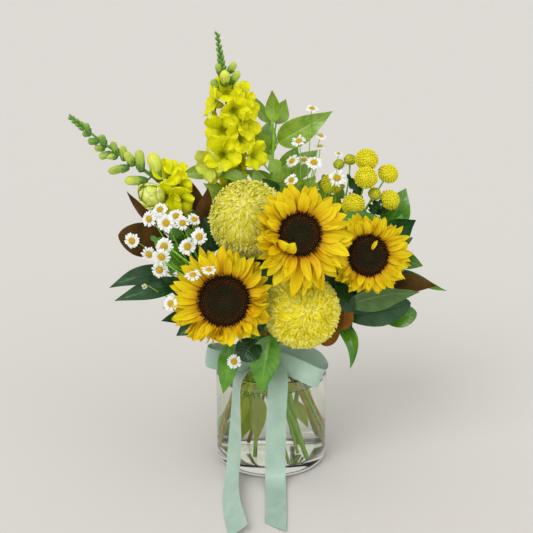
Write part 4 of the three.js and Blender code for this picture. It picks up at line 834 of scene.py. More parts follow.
def leaf_side(name, deep, middle, vein, roughness, painted_light_under_water=None, **sockets):
    """One side of a leaf: blotches, paler veins that fork from the rib, and a waxy or a dull face."""
    made = Finish(name, Roughness=roughness, Coat_Roughness=0.18, **sockets)
    along, across, draw = made.grow()
    spots = made.spot(55.0, 3.0)
    colour = made.ramp(spots, (0.3, deep), (0.7, middle))
    lighter = made.ramp(draw, (0.0, 0.85), (1.0, 1.15))
    colour = made.mix(1.0, colour, lighter, "MULTIPLY")
    out = made.math("ABSOLUTE", across)
    slanting = made.math("SUBTRACT", along, made.math("MULTIPLY", out, 0.22))
    stagger = made.math("MULTIPLY", slanting, SIDE_VEINS)
    apart = made.math("ABSOLUTE", made.math("SUBTRACT", made.math("FRACT", stagger), 0.5))
    sides = made.ramp(apart, (0.0, 1.0), (0.09, 0.0))
    rib = made.ramp(out, (0.0, 1.0), (0.05, 1.0), (0.11, 0.0))
    lines = made.math("MAXIMUM", made.math("MULTIPLY", sides, 0.45), rib)
    colour = made.mix(made.math("MULTIPLY", lines, 0.42), colour, tint(vein))
    # Brighter below the water: painted light that makes up for the light that the glass and water take.
    if painted_light_under_water:
        colour = in_water(made, colour, made.mix(made.math("MULTIPLY", lines, 0.3), tint(painted_light_under_water), tint(vein)))
    made.colour(colour).bump(made.math("SUBTRACT", 0.0, lines), 0.5)
    return made.bump(made.spot(420.0, 3.0), 0.12).rough(spots, roughness - 0.06, roughness + 0.1)


def make_leaf_bright_upper():
    """A glossy mid green."""
    return leaf_side("bright leaf, upper side", "#39730c", "#5f9e18", "#8cbc40", 0.3, Coat_Weight=0.4)


def make_leaf_young_upper():
    """A glossy yellow-green, painted brighter in the water for the light that the glass and water take."""
    return leaf_side("young leaf, upper side", "#66921a", "#9cbe42", "#c2d874", 0.34, "#cfe02c",
                     Coat_Weight=0.35)


def make_leaf_bright_under():
    """A paler, dull green, painted brighter in the water for the light that the glass and water take."""
    return leaf_side("bright leaf, underside", "#668e2c", "#84aa40", "#b2cc74", 0.5, "#c2d43c")


def make_leaf_dark_upper():
    """A waxy bottle green."""
    return leaf_side("dark leaf, upper side", "#15361a", "#245426", "#376631", 0.28, Coat_Weight=0.3,
                     Specular_IOR_Level=0.3)


def make_leaf_dark_under():
    """A dull olive green."""
    return leaf_side("dark leaf, underside", "#40602c", "#567a3a", "#86a05a", 0.5)


def make_leaf_suede():
    """The brown suede underside of an evergreen leaf."""
    return leaf_side("brown suede leaf", "#3a2808", "#5a3e12", "#70501e", 0.75, Specular_IOR_Level=0.1,
                     Sheen_Weight=0.1)


def make_leaf_rust():
    """The rust-brown suede underside of a leaf."""
    return leaf_side("rust suede leaf", "#74470f", "#9a681e", "#86581a", 0.7, Specular_IOR_Level=0.1,
                     Sheen_Weight=0.15)


def make_glass():
    """Heavy clear glass."""
    made = Finish("clear glass", Roughness=0.0, IOR=1.45, Transmission_Weight=1.0)
    return made.colour(opaque(bpy.context.scene.bouquet_vase.glass_colour))


def make_water():
    """Clear water, faintly green."""
    made = Finish("water", Roughness=0.0, IOR=1.25, Transmission_Weight=1.0)
    return made.colour(opaque(bpy.context.scene.bouquet_vase.water_colour))


def make_ribbon_satin():
    """Satin: fine ribs across, and a soft sheen along."""
    made = Finish("mint satin", Roughness=0.36, Sheen_Weight=0.3, Sheen_Roughness=0.4, Anisotropic=0.5)
    settings = bpy.context.scene.bouquet_ribbon
    along, across, _ = made.grow()
    weave = {0: made.math("MULTIPLY", along, 900.0), 1: made.math("MULTIPLY", across, 4.0)}
    threads = made.spot(1.0, 1.0, vector=made.node("CombineXYZ", weave).outputs[0])
    soft = made.spot(45.0)
    # Soft patches between the two colours: painted shade and painted sheen standing for soft folds in the
    # satin.
    colour = made.ramp(soft, (0.3, settings.shaded_colour), (0.7, settings.colour))
    shade = made.ramp(threads, (0.3, 0.93), (0.7, 1.03))
    return made.colour(made.mix(1.0, colour, shade, "MULTIPLY")).bump(threads, 0.05).rough(soft, 0.3, 0.45)


FINISHES = {}


def finish(maker):
    """The finish that a function makes, made when it is first asked for."""
    if maker not in FINISHES:
        FINISHES[maker] = maker().material
    return FINISHES[maker]


# ------------ stems

STEM_STEPS = 26
FOOT_STEPS = 14
STEM_TAPER = 0.15


def stem_line(item, radius, end, end_way):
    """A stem's line from its foot to its tie, and on to its head, and the part above the tie alone."""
    ring, degrees = item["slot"]
    lean = math.radians(degrees)
    onward = np.array([math.cos(lean), math.sin(lean), 0])
    if ring == "outer":
        out = TIE["radius"] - 3 * GAP - radius
        spread = WAIST["outer_spread"]
    else:
        out = WAIST["inner"]
        spread = WAIST["inner_spread"]
    slot = np.array([-math.sin(lean), math.cos(lean), 0]) * out
    slot[2] = WAIST["z"]
    foot = slot - onward * spread
    foot[2] = VASE["base"] + GAP + 0.4 * radius
    rising = unit(slot - foot)
    reach, neck = item["bend"]
    above = bezier((slot, slot + rising * reach, end - end_way * neck, end), STEM_STEPS)
    below = slot + (foot - slot) * np.linspace(1, 0, FOOT_STEPS)[:-1, None]
    return np.concatenate([below, above]), above


def add_stem(shape, line, radius, cut, mark=0, sides=12):
    """A stem that gets a little thinner towards its head, with faint nodes. cut is its foot's finish."""
    share = np.linspace(0, 1, len(line))
    thick = radius * (1 - STEM_TAPER * share) * (1 + 0.03 * np.sin(share * 37 + radius * 9))
    shape.tube(line, thick, sides, mark, 0.5, end_mark=cut)


def spray_line(item, height):
    """The line of a forked or leafy stem, which meets its end as if it came from so high on the axis."""
    end = seen(item["end"])
    return stem_line(item, item["stem"], end, unit(end - np.array([0, 0, height])))


def fork_of(above, number, count):
    """Where the side stalk of one of the heads leaves the main one; the first leaves it highest."""
    return above[int((0.97 - 0.3 * number / count) * (len(above) - 1))]


# ------------ sunflowers

# The finishes of a sunflower's or a chrysanthemum's stem, and their places.
FLOWER_STEM = (make_stem_green, make_calyx, make_stem_cut)
GREEN, BRACT, PITH = range(3)
PETAL_ROWS = 11
PETAL_COLUMNS = 7
# How wide a petal is along its length, as shares of its widest part.
PETAL_WIDTHS = ((0, 0.1, 0.28, 0.5, 0.7, 0.86, 0.95, 1), (0.5, 0.64, 0.92, 1, 0.86, 0.54, 0.27, 0.02))
PETAL_THICKNESS = 0.45
# Petals that curl in over the middle sunflower's disc: the turn that each stands at, its length, half its
# width, and its rise at the root and at the tip (turn and rises in degrees).
CURLED_PETALS = ((226, 26, 8, 70, 188), (203, 29, 7.5, 48, 160), (188, 26, 6.5, 25, 110),
                 (240, 24, 6, 10, 60), (214, 26, 7, 0, 80), (178, 25, 6.5, 10, 60))
# A small petal that lies over the right sunflower's disc, as add_petal takes it.
FALLEN_PETAL = (math.radians(62), (6.5, 4.4), 14, 2.6, (0.12, -0.05), -0.25, 0.3, 0.3, 0.9, 0.2, 1)
DISC_PROFILE = ((1, 0), (0.95, 0.4), (0.62, 0.75), (0.5, 0.9), (0, 1.0))
# The whorls of bracts behind a disc: how many, their depth, length, half their width and rise (degrees).
BRACT_WHORLS = ((15, -8.5, 25, 5.0, -6), (14, -10.5, 21, 5.6, -28), (11, -12.5, 15, 5.0, -50))
BRACT_ROWS = 8


def round_value(values, turn):
    """A value that runs smoothly round a head through those at the right, top, left and bottom."""
    quarter = (turn / (math.pi / 2)) % 4
    low = int(quarter)
    share = eased(quarter - low, 0, 1)
    return values[low] * (1 - share) + values[(low + 1) % 4] * share


def turn_about(first, second, angle):
    """Directions turned from one unit vector towards another at right angles to it."""
    return first * np.cos(angle)[:, None] + second * np.sin(angle)[:, None]


def add_petal(shape, basis, turn, start, length, half, rises, swing, twist, cup, draw, crimp, phase):
    """One petal: its rises at the root and the tip (radians), its swing aside, its twist and its cup."""
    centre, side, up, way = basis
    share = np.linspace(0, 1, PETAL_ROWS)
    rise = rises[0] + (rises[1] - rises[0]) * share**1.3
    radial = side * math.cos(turn) + up * math.sin(turn)
    aside = np.cross(way, radial)
    heading = turn_about(radial, aside, swing * share)
    step = heading * np.cos(rise)[:, None] + way * np.sin(rise)[:, None]
    line = centre + radial * start[0] + way * start[1] + np.cumsum(step, axis=0) * length / PETAL_ROWS
    face = way * np.cos(rise)[:, None] - heading * np.sin(rise)[:, None]
    face = turned(face, unit(step), twist * share)
    halves = half * np.interp(share, *PETAL_WIDTHS)
    columns = np.linspace(-1, 1, PETAL_COLUMNS)
    ribs = 0.36 * np.cos(3 * math.pi * columns) * np.sin(math.pi * share)[:, None]
    lifts = cup * halves[:, None] * columns**2 + ribs
    lifts = lifts + crimp * np.sin(share[:, None] * 15 + phase) * columns * np.abs(columns)
    shape.blades(line[None], face[None], halves[None], lifts[None], PETAL_THICKNESS, draw)


def sunflower_petals(item, basis, settings, seed):
    """Two full layers of petals and some short ones between them."""
    draws = np.random.default_rng(seed)
    shape = Shape()
    disc = item["disc"]
    # Each layer: how many petals, their length (a share of the reach), depth, rise (degrees) and width.
    layers = (
        (settings.back_petals, 1.0, -4.6, 12, 1.02),
        (settings.front_petals, 0.93, -2.8, 26, 1.0),
        (settings.front_petals // 2, 0.8, -1.6, 36, 0.9),
    )
    collar = [(disc - 2, -2.4), (disc + 5, -3.4), (disc + 5, -4.4), (disc - 2, -6), (disc - 2, -2.4)]
    shape.turn(collar, 40, basis[0], basis[3])
    for full_count, share, depth, rise, width in layers:
        count = round(full_count / item["narrow"])
        widest = width * item["narrow"] * settings.petal_width / MM / 2
        for k in range(count):
            turn = 2 * math.pi * (k + draws.uniform(-0.3, 0.3)) / count + depth
            wild = round_value(item["unruly"], turn)
            length = (round_value(item["reach"], turn) - disc + 1.5) * share * draws.uniform(0.82, 1.1)
            bent = draws.uniform(-34, 2) + 65 * wild**1.5 * draws.uniform(-0.6, 1)
            rises = math.radians(rise + draws.uniform(-9, 12)), math.radians(bent)
            half = widest * draws.uniform(0.8, 1.12)
            swing = draws.uniform(-0.34, 0.34) * (0.5 + wild)
            twist = draws.uniform(-1, 1) * (0.3 + 1.3 * wild)
            cup = draws.uniform(0.0, 0.35) + 0.9 * wild * draws.uniform(0, 1)
            draw = draws.uniform(0, 1)
            crimp = 0.25 + 0.5 * wild * draws.uniform(0, 1)
            phase = draws.uniform(0, 6)
            start = disc - 1.2, depth
            add_petal(shape, basis, turn, start, length * 1.04, half, rises, swing, twist, cup, draw, crimp,
                      phase)
    return shape


def disc_florets(radius, basis, seed):
    """A sunflower's disc: spiky florets round the rim, low ones in the middle, in crossing spirals."""
    centre, side, up, way = basis
    draws = np.random.default_rng(seed)
    shape = Shape()
    count = int(radius * radius * 0.72)
    number = np.arange(count)
    share = np.sqrt((number + 0.5) / count)
    turn = number * GOLDEN_TURN
    radial = side * np.cos(turn)[:, None] + up * np.sin(turn)[:, None]
    dome = 1.3 + 3.0 * np.sin(math.pi * share) ** 2
    places = centre + radial * (share * (radius - 0.7))[:, None] + way * (dome - 2.2)[:, None]
    lean = eased(share, 0.7, 1.0)
    astray = draws.normal(0, 0.14, (count, 3)) * eased(share, 0.55, 0.8)[:, None]
    ways = way + radial * lean[:, None] + astray
    taller = 1.8 * eased(share, 0.62, 0.8) + 1.4 * eased(share, 0.88, 1.0)
    heights = 1.6 + taller * draws.uniform(0.7, 1.25, count)
    spacing = radius * math.sqrt(math.pi / count)
    sizes = spacing * 0.5 * draws.uniform(0.85, 1.1, count)
    shape.studs(places, ways, sizes, heights, DISC_PROFILE, share)
    low = 0.5 - DISC_DEPTH
    bowl = [(0, low), (radius - 3, low), (radius - 0.4, -2.5), (radius - 0.6, -0.6)]
    bowl += [(radius * s, 0.4 + 3.0 * math.sin(math.pi * s) ** 2 - 1.2) for s in (0.9, 0.75, 0.5, 0.25)]
    shape.turn([*bowl, (0, -0.8)], 36, centre, way, draw=0.97)
    return shape


def sunflower_back(item, basis, line):
    """The stem, the cup behind the disc and its whorls of pointed bracts."""
    centre, side, up, way = basis
    disc = item["disc"]
    stem = item["stem"]
    draws = np.random.default_rng(int(disc * BRACT_SEED_PER_RADIUS))
    shape = Shape()
    add_stem(shape, line, stem, PITH, GREEN)
    top = -DISC_DEPTH
    profile = [(0, top - CUP_DEPTH), (stem * 1.1, top - CUP_DEPTH - 1), (disc * 0.4, top - 9)]
    profile += [(disc * 0.72, top - 6), (disc * 0.9, top - 2.5), (disc - 1, top - 0.4)]
    profile += [(disc - 4, top + 0.4), (0, top + 0.4)]
    shape.turn(profile, 32, centre, way, BRACT, 0.5)
    share = np.linspace(0, 1, BRACT_ROWS)
    for count, depth, length, half, rise in BRACT_WHORLS:
        halves = half * np.interp(share, (0, 0.25, 0.5, 0.8, 1), (0.8, 1, 0.8, 0.3, 0.02))
        lifts = 0.25 * halves[:, None] * np.linspace(-1, 1, 5) ** 2
        for k in range(count):
            turn = 2 * math.pi * (k + draws.uniform(-0.2, 0.2)) / count + depth
            bend = math.radians(rise) + share * draws.uniform(-0.5, 0.35)
            radial = side * math.cos(turn) + up * math.sin(turn)
            step = radial * np.cos(bend)[:, None] + way * np.sin(bend)[:, None]
            start = centre + radial * disc * (0.9 + depth * 0.02) + way * depth
            path = start + np.cumsum(step, axis=0) * length * draws.uniform(0.85, 1.1) / BRACT_ROWS
            face = way * np.cos(bend)[:, None] - radial * np.sin(bend)[:, None]
            draw = draws.uniform(0, 1)
            shape.blades(path[None], face[None], halves[None], lifts[None], 0.7, draw, (BRACT, BRACT))
    return shape


class BOUQUET_OT_sunflowers(bpy.types.Operator):
    """Grow the sunflowers: petals, discs, and stems with their bracts"""

    bl_idname = "bouquet.sunflowers"
    bl_label = "Sunflowers"

    def execute(self, context):
        settings = context.scene.bouquet_sunflowers
        for number, (name, item) in enumerate(SUNFLOWERS.items()):
            way = facing(*item["way"])
            centre = seen(item["at"])
            basis = centre, *across_of(way), way
            petals = sunflower_petals(item, basis, settings, SEEDS["petals"] + number)
            if name == "sunflower_middle":
                for k, (degrees, length, half, rise, curl) in enumerate(CURLED_PETALS):
                    rises = math.radians(rise), math.radians(curl)
                    start = item["disc"] - 0.5, -1
                    swing = 0.2 * (-1) ** k
                    add_petal(petals, basis, math.radians(degrees), start, length, half, rises, swing,
                              0.3, 0.25, 0.6, 0.4, k)
            if name == "sunflower_right":
                add_petal(petals, basis, *FALLEN_PETAL)
            petals.place(f"fine_{name}_petals", [make_sunflower_petal], "petal_gold", f"{name}_petals")
            disc = disc_florets(item["disc"], basis, SEEDS["disc"] + number)
            disc.place(f"fine_{name}_disc", [make_disc_floret], "disc_dark", f"{name}_disc")
            end = centre - way * (DISC_DEPTH + CUP_DEPTH - 2)
            line, _ = stem_line(item, item["stem"], end, way)
            back = sunflower_back(item, basis, line)
            back.place(f"fine_{name}_stem", FLOWER_STEM, "stem_green", f"{name}_stem")
        return {"FINISHED"}


# ------------ chrysanthemums

MUM_FINISHES = {"mum_lemon": make_mum_lemon, "mum_cream": make_mum_cream}
MUM_ROWS = 8
MUM_COLUMNS = 5
MUM_PETAL_HALF = 1.9


def mum_petals(item, basis, count, seed):
    """A ball of narrow petals: incurved to the middle of the flower, and reflexed beneath."""
    centre, side, up, way = basis
    radius = item["radius"]
    draws = np.random.default_rng(seed)
    number = np.arange(count)
    height = 1 - (number + 0.5) / count * 1.66
    tip = np.arccos(height) + draws.normal(0, 0.03, count)
    turn = number * GOLDEN_TURN + draws.normal(0, 0.1, count)
    radial = side * np.cos(turn)[:, None] + up * np.sin(turn)[:, None]
    share = np.linspace(0, 1, MUM_ROWS)
    reflexed = eased(tip + draws.normal(0, 0.06, count), *item["turns"])[:, None]
    spread = (np.minimum(0.5, 0.24 + 0.5 * tip) * draws.uniform(0.8, 1.2, count))[:, None]
    inward = tip[:, None] + spread * (1 - share**1.2) - 0.06
    outward = tip[:, None] - 0.44 * (1 - share) + 0.04
    angle = inward * (1 - reflexed) + outward * reflexed
    lift_in = 0.9 + 0.1 * np.sin(np.minimum(1, share * 1.25) * math.pi / 2)
    lift_in = lift_in + draws.uniform(-0.06, 0.05, count)[:, None] * share**4
    lift_out = 0.85 + 0.1 * share + draws.uniform(0.02, 0.1, count)[:, None] * share**2.5
    distance = radius * (lift_in * (1 - reflexed) + lift_out * reflexed)
    distance = distance * (1 + draws.normal(0, 0.008, count))[:, None]
    swing = draws.normal(0, 0.16, count)[:, None] * share**1.5 / np.maximum(0.35, np.sin(tip))[:, None]
    aside = np.cross(way, radial)
    heading = radial[:, None] * np.cos(swing)[..., None] + aside[:, None] * np.sin(swing)[..., None]
    spoke = way * np.cos(angle)[..., None] + heading * np.sin(angle)[..., None]
    lines = centre + spoke * distance[..., None]
    half = MUM_PETAL_HALF * draws.uniform(0.8, 1.2, count)
    halves = half[:, None] * np.interp(share, (0, 0.4, 0.75, 0.92, 1), (0.8, 1, 1, 0.72, 0.12))
    columns = np.linspace(-1, 1, MUM_COLUMNS)
    cup = draws.uniform(-0.2, 0.75, count)[:, None, None]
    lifts = -cup * halves[..., None] * columns**2 * (0.3 + share[None, :, None])
    faces = turned(spoke, unit(np.gradient(lines, axis=1)), draws.normal(0, 0.35, (count, 1)) * share)
    shape = Shape()
    shape.blades(lines, faces, halves, lifts, 0.35, draws.uniform(0, 1, count))
    core = ball_profile(radius * 0.975, radius * 0.975, 16)
    core = [(r, max(z, MUM_FLAT * radius)) for r, z in core]
    shape.turn(core, 32, centre, way)
    return shape


class BOUQUET_OT_chrysanthemums(bpy.types.Operator):
    """Grow the two large chrysanthemums and their stems"""

    bl_idname = "bouquet.chrysanthemums"
    bl_label = "Chrysanthemums"

    def execute(self, context):
        settings = context.scene.bouquet_chrysanthemums
        for number, (name, item) in enumerate(MUMS.items()):
            way = facing(*item["way"])
            centre = seen(item["at"])
            basis = centre, *across_of(way), way
            head = mum_petals(item, basis, settings.petals, SEEDS["mum"] + number)
            colour = item["colour"]
            head.place(f"fine_{name}_head", [MUM_FINISHES[colour]], colour, f"{name}_head")
            top = MUM_FLAT * item["radius"] - GAP
            line, _ = stem_line(item, MUM_STEM, centre + way * (top - 3), way)
            shape = Shape()
            add_stem(shape, line, MUM_STEM, PITH, GREEN)
            cup = [(0, top - 8), (MUM_STEM, top - 7.5), (8, top - 5), (14, top), (15, top + 5)]
            cup += [(13, top + 5), (0, top)]
            shape.turn(cup, 24, centre, way, BRACT, 0.5, lambda a, s: 1 + 0.06 * np.cos(9 * a))
            shape.place(f"fine_{name}_stem", FLOWER_STEM, "stem_green", f"{name}_stem")
        return {"FINISHED"}


# ------------ snapdragons

# The finishes of a spike's stem, and their places.
SPIKE_STEM = (make_snap_stem, make_snap_bud, make_stem_cut)
SPIKE, BUD, SPIKE_CUT = range(3)
# The lobes of an open floret: degrees from its top, length, half width, and lean (degrees) at root and rim.
LOBES = ((-32, 22, 10, 62, 20), (32, 22, 10, 56, 8), (180, 20, 9.4, 92, -22), (-110, 20, 9, 70, -6),
         (110, 20, 9, 70, -6))
LOBE_OUTLINE = ((0, 0.15, 0.35, 0.6, 0.8, 0.92, 1), (0.34, 0.52, 0.86, 1, 0.88, 0.58, 0.08))
LOBE_ROWS = 10
LOBE_COLUMNS = 11
POUCH = ((0, -1), (2.4, 0), (3.8, 2), (4.6, 5), (5.0, 8), (5.2, 10.5))
BUD_OUTLINE = ((0, 0.1, 0.32, 0.58, 0.8, 0.93, 1), (0.34, 0.7, 0.96, 1.04, 0.94, 0.62, 0))
SPINE_STEPS = 120


def add_floret(shape, origin, out, along, size, draw, draws):
    """One open floret: a pouch, two lobes that stand up, three that arch out and turn down."""
    way = unit(out + along * draws.uniform(-0.2, 0.35))
    side = unit(np.cross(along, way))
    top = np.cross(way, side)
    shape.turn([(r * size, h * size) for r, h in POUCH], 14, origin, way, draw=draw)
    share = np.linspace(0, 1, LOBE_ROWS)
    columns = np.linspace(-1, 1, LOBE_COLUMNS)
    for degrees, length, half, root_lean, rim_lean in LOBES:
        turn = math.radians(degrees + draws.uniform(-9, 9))
        radial = top * math.cos(turn) + side * math.sin(turn)
        lean = np.radians(root_lean + (rim_lean + draws.uniform(-26, 26) - root_lean) * share**0.7)
        step = radial * np.cos(lean)[:, None] + way * np.sin(lean)[:, None]
        start = origin + size * (way * 8.5 + radial * 3.4)
        drawn = length * size * draws.uniform(0.8, 1.2)
        swing = np.cross(radial, way) * size * draws.uniform(-5, 5)
        line = start + (np.cumsum(step, axis=0) - step[0]) * drawn / LOBE_ROWS + swing * (share**2)[:, None]
        face = way * np.cos(lean)[:, None] - radial * np.sin(lean)[:, None]
        halves = half * size * draws.uniform(0.88, 1.12) * np.interp(share, *LOBE_OUTLINE)
        ruffle = np.sin(columns[None] * draws.uniform(3, 5.5) + share[:, None] * 3 + draws.uniform(0, 6))
        bulge = draws.uniform(-0.8, 2.2) if abs(degrees) < 90 else draws.uniform(-2.6, 0.2)
        lifts = size * (2.0 * ruffle * share[:, None] ** 1.2 + bulge * columns**2)
        shape.blades(line[None], face[None], halves[None], lifts[None], 0.4, draw)


def add_bud(shape, base, way, length, half, draw, draws):
    """One closed bud, bent and blunt, with its folded petals and a cup of short sepals at its base."""
    share = np.linspace(0, 1, 11)
    swell = [(half * r, length * s) for s, r in zip(share, np.interp(share, *BUD_OUTLINE))]
    bend = draws.uniform(0, 6)
    shape.turn(swell, 14, base, way, BUD, draw, lambda a, s: 1 + 0.16 * s * np.cos(3 * a + 3 * s + bend))
    cup = [(0, -0.6), (half * 0.64, -0.3), (half * 0.92, length * 0.14), (half * 1.06, length * 0.38),
           (half * 0.7, length * 0.2)]
    shape.turn(cup, 10, base, way, SPIKE, 0.2, lambda a, s: 1 + 0.22 * s * np.cos(5 * a))


def add_layered_bud(shape):
    """A large bud about to open: round petals wrapped over each other."""
    centre = seen(LAYERED_BUD["at"])
    way = facing(*LAYERED_BUD["way"])
    side, up = across_of(way)
    radius = LAYERED_BUD["radius"]
    shape.turn(ball_profile(radius * 0.86, radius * 0.86, 12), 22, centre, way, draw=1.0)
    share = np.linspace(0, 1, 14)
    columns = np.linspace(-1, 1, 13)
    halves = radius * 0.95 * np.interp(share, *LOBE_OUTLINE)
    for k in range(8):
        turn = GOLDEN_TURN * k + 0.8
        radial = side * math.cos(turn) + up * math.sin(turn)
        reach = 0.88 + 0.028 * k
        fall = np.radians(160 + (9 + 8 * k - 160) * share)
        spoke = way * np.cos(fall)[:, None] + radial * np.sin(fall)[:, None]
        line = centre + spoke * (radius * (reach + 0.13 * share**4))[:, None]
        wrap = -(halves[:, None] * columns) ** 2 / (2 * radius) * 0.9
        lifts = wrap + 1.1 * np.sin(6 * columns + k) * share[:, None] ** 2
        shape.blades(line[None], spoke[None], halves[None] * 0.8, lifts[None], 0.5, 1.0)


def snapdragon(item, seed):
    """The florets of a spike as one mesh, and its stem with the buds as another."""
    draws = np.random.default_rng(seed)
    spine = through([seen(p) for p in item["spine"]], SPINE_STEPS)
    way, _, _ = steadily(spine)
    to_viewer = -INTO_VIEW
    blooms = Shape()
    stalk = Shape()

    def on_spine(share):
        k = int(round(share * (len(spine) - 1)))
        return spine[k], way[k]

    for k in range(item["florets"]):
        share = (k + 0.4) / item["florets"]
        at, along = on_spine(item["open"] * (share * 0.98 + 0.01))
        back = unit(along * np.dot(to_viewer, along) - to_viewer)
        round_spine = math.radians(115) * math.sin(GOLDEN_TURN * k) + draws.uniform(-0.2, 0.2)
        out = turned(back, along, round_spine)
        size = item["size"] * (1.15 - 0.3 * share)
        add_floret(blooms, at + out * draws.uniform(3, 6), out, along, size, draws.uniform(0, 0.4), draws)
    for place, azimuth, rise, size, pale in item["set"]:
        out = facing(azimuth, rise)
        along = unit(way[0] - out * np.dot(way[0], out))
        add_floret(blooms, seen(place) - out * 12 * size, out, along, size, pale, draws)
    line, _ = stem_line(item, SNAP_STEM, spine[0], way[0])
    share = np.linspace(0, 1, len(spine))
    radii = np.concatenate([np.full(len(line) - 1, SNAP_STEM), SNAP_STEM * (0.95 - 0.6 * share)])
    stalk.tube(np.concatenate([line[:-1], spine]), radii, 10, SPIKE, end_mark=SPIKE_CUT)
    first, count, half = item["beads"]
    for k in range(count):
        share = k / (count - 1)
        at, along = on_spine(first + (0.995 - first) * share)
        flat = unit(to_viewer - along * np.dot(to_viewer, along))
        out = turned(flat, along, math.radians(90) * (-1) ** k + draws.uniform(-0.5, 0.5))
        width = half * (1 - 0.42 * share)
        bud_way = unit(out * 0.38 + along)
        add_bud(stalk, at + out * width * 0.5, bud_way, width * 3.1, width, 0.12, draws)
    for base, tip, half, lime in item["buds"]:
        start = seen(base)
        end = seen(tip)
        near = spine[int(np.argmin(np.linalg.norm(spine - start, axis=1)))]
        start = start * 0.7 + near * 0.3
        bud_way = unit(end - start)
        middle = near * 0.4 + start * 0.6 - bud_way * 2
        stalk.tube(bezier((near, middle, start + bud_way), 8), 1.1, 7, SPIKE)
        add_bud(stalk, start, bud_way, float(np.linalg.norm(end - start)), half * 1.12, lime, draws)
    return blooms, stalk


class BOUQUET_OT_snapdragons(bpy.types.Operator):
    """Grow the two snapdragon spikes with their florets, buds and stems"""

    bl_idname = "bouquet.snapdragons"
    bl_label = "Snapdragons"

    def execute(self, context):
        for number, (name, item) in enumerate(SNAPDRAGONS.items()):
            blooms, stalk = snapdragon(item, SEEDS["spike"] + number)
            if name == LAYERED_BUD["spike"]:
                add_layered_bud(blooms)
            blooms.place(f"fine_{name}_flowers", [make_snap_petal], "snapdragon_yellow", f"{name}_flowers")
            stalk.place(f"fine_{name}_stem", SPIKE_STEM, "snapdragon_green", f"{name}_stem")
        return {"FINISHED"}


# ------------ button chrysanthemums

# The finishes of the button spray, and their places.
SPRAY = (make_stem_green, make_calyx, make_leaf_dark_upper, make_stem_cut)
SPRAY_STALK, SPRAY_CALYX, SPRAY_LEAF, SPRAY_CUT = range(4)
QUILL = ((0.75, -0.3), (0.8, 0.4), (1.0, 0.8), (0.72, 1.05), (0.3, 0.88), (0, 0.8))
# How deep a pom's flat underside lies below its middle, and how wide its ball is, as shares of its radius.
POM_FLAT = 0.37
POM_BALL = 0.86
# Lobed leaves of the button spray: base, tip, width and turn.
SPRAY_LEAVES = (((361, 200, 0), (347, 174, -6), 16, 10), ((358, 205, -6), (340, 197, -12), 10, 20),
                ((370, 212, -6), (382, 200, -14), 16, -10), ((372, 214, 2), (392, 207, -2), 9, 0),
                ((356, 222, 6), (350, 192, 24), 15, 190), ((362, 226, 10), (392, 224, 34), 16, 170),
                ((352, 214, 14), (330, 204, 40), 15, 180))
LOBED_ROWS = 25
LOBES_OF_LEAF = 3.0


def ball_spots(count, lowest):
    """Directions spread evenly over a ball from its pole, +Z, down to a height."""
    number = np.arange(count)
    height = 1 - (number + 0.5) / count * (1 - lowest)
    turn = number * GOLDEN_TURN
    flat = np.sqrt(1 - height**2)
    return np.stack([flat * np.cos(turn), flat * np.sin(turn), height], axis=1)


def pom(radius, centre, way, seed, green):
    """A button flower: a low ball packed with short quills."""
    draws = np.random.default_rng(seed)
    side, up = across_of(way)
    axes = np.stack([side, up, way])
    shape = Shape()
    count = int(radius * radius * 0.85)
    local = ball_spots(count, -0.62) + draws.normal(0, 0.02, (count, 3))
    ways = unit(local) @ axes
    flat = np.where(local[:, 2:] < 0, 0.62, 0.9)
    ball = local * np.concatenate([np.ones((count, 2)), flat], axis=1)
    places = centre + (ball * radius * 0.8) @ axes
    heights = radius * 0.15 * draws.uniform(0.85, 1.2, count)
    sizes = np.full(count, radius * math.sqrt(2 * 1.62 / count) * 0.76)
    shape.studs(places, ways, sizes, heights, QUILL, np.clip(draws.normal(green, 0.12, count), 0, 1))
    ball = ball_profile(radius * POM_BALL, radius * POM_BALL, 10)
    inner = [(r, max(z * (0.9 if z > 0 else 0.6), -POM_FLAT * radius)) for r, z in ball]
    shape.turn(inner, 20, centre, way, draw=0.2)
    return shape


def add_lobed_leaf(shape, base, tip, width, face_turn, mark, draw):
    """A small leaf with deep round lobes, as chrysanthemums have."""
    along = unit(tip - base)
    face = turned(towards_viewer(along), along, math.radians(face_turn))
    share = np.linspace(0, 1, LOBED_ROWS)
    line = bezier((base, (base + tip) / 2 + face * 6, tip), LOBED_ROWS)
    outline = np.sin(math.pi * share**0.85) ** 0.7
    cut = 0.42 + 0.58 * np.abs(np.cos(math.pi * LOBES_OF_LEAF * share)) ** 0.8
    halves = np.maximum(0.5, width / 2 * outline * cut)
    halves[-1] = 0.05
    columns = np.linspace(-1, 1, 7)
    lifts = 0.22 * halves[:, None] * columns**2 + 0.5 * np.sin(share[:, None] * 20) * columns**2
    faces = np.repeat(face[None, None], LOBED_ROWS, axis=1)
    shape.blades(line[None], faces, halves[None], lifts[None], 0.4, draw, (mark, mark))


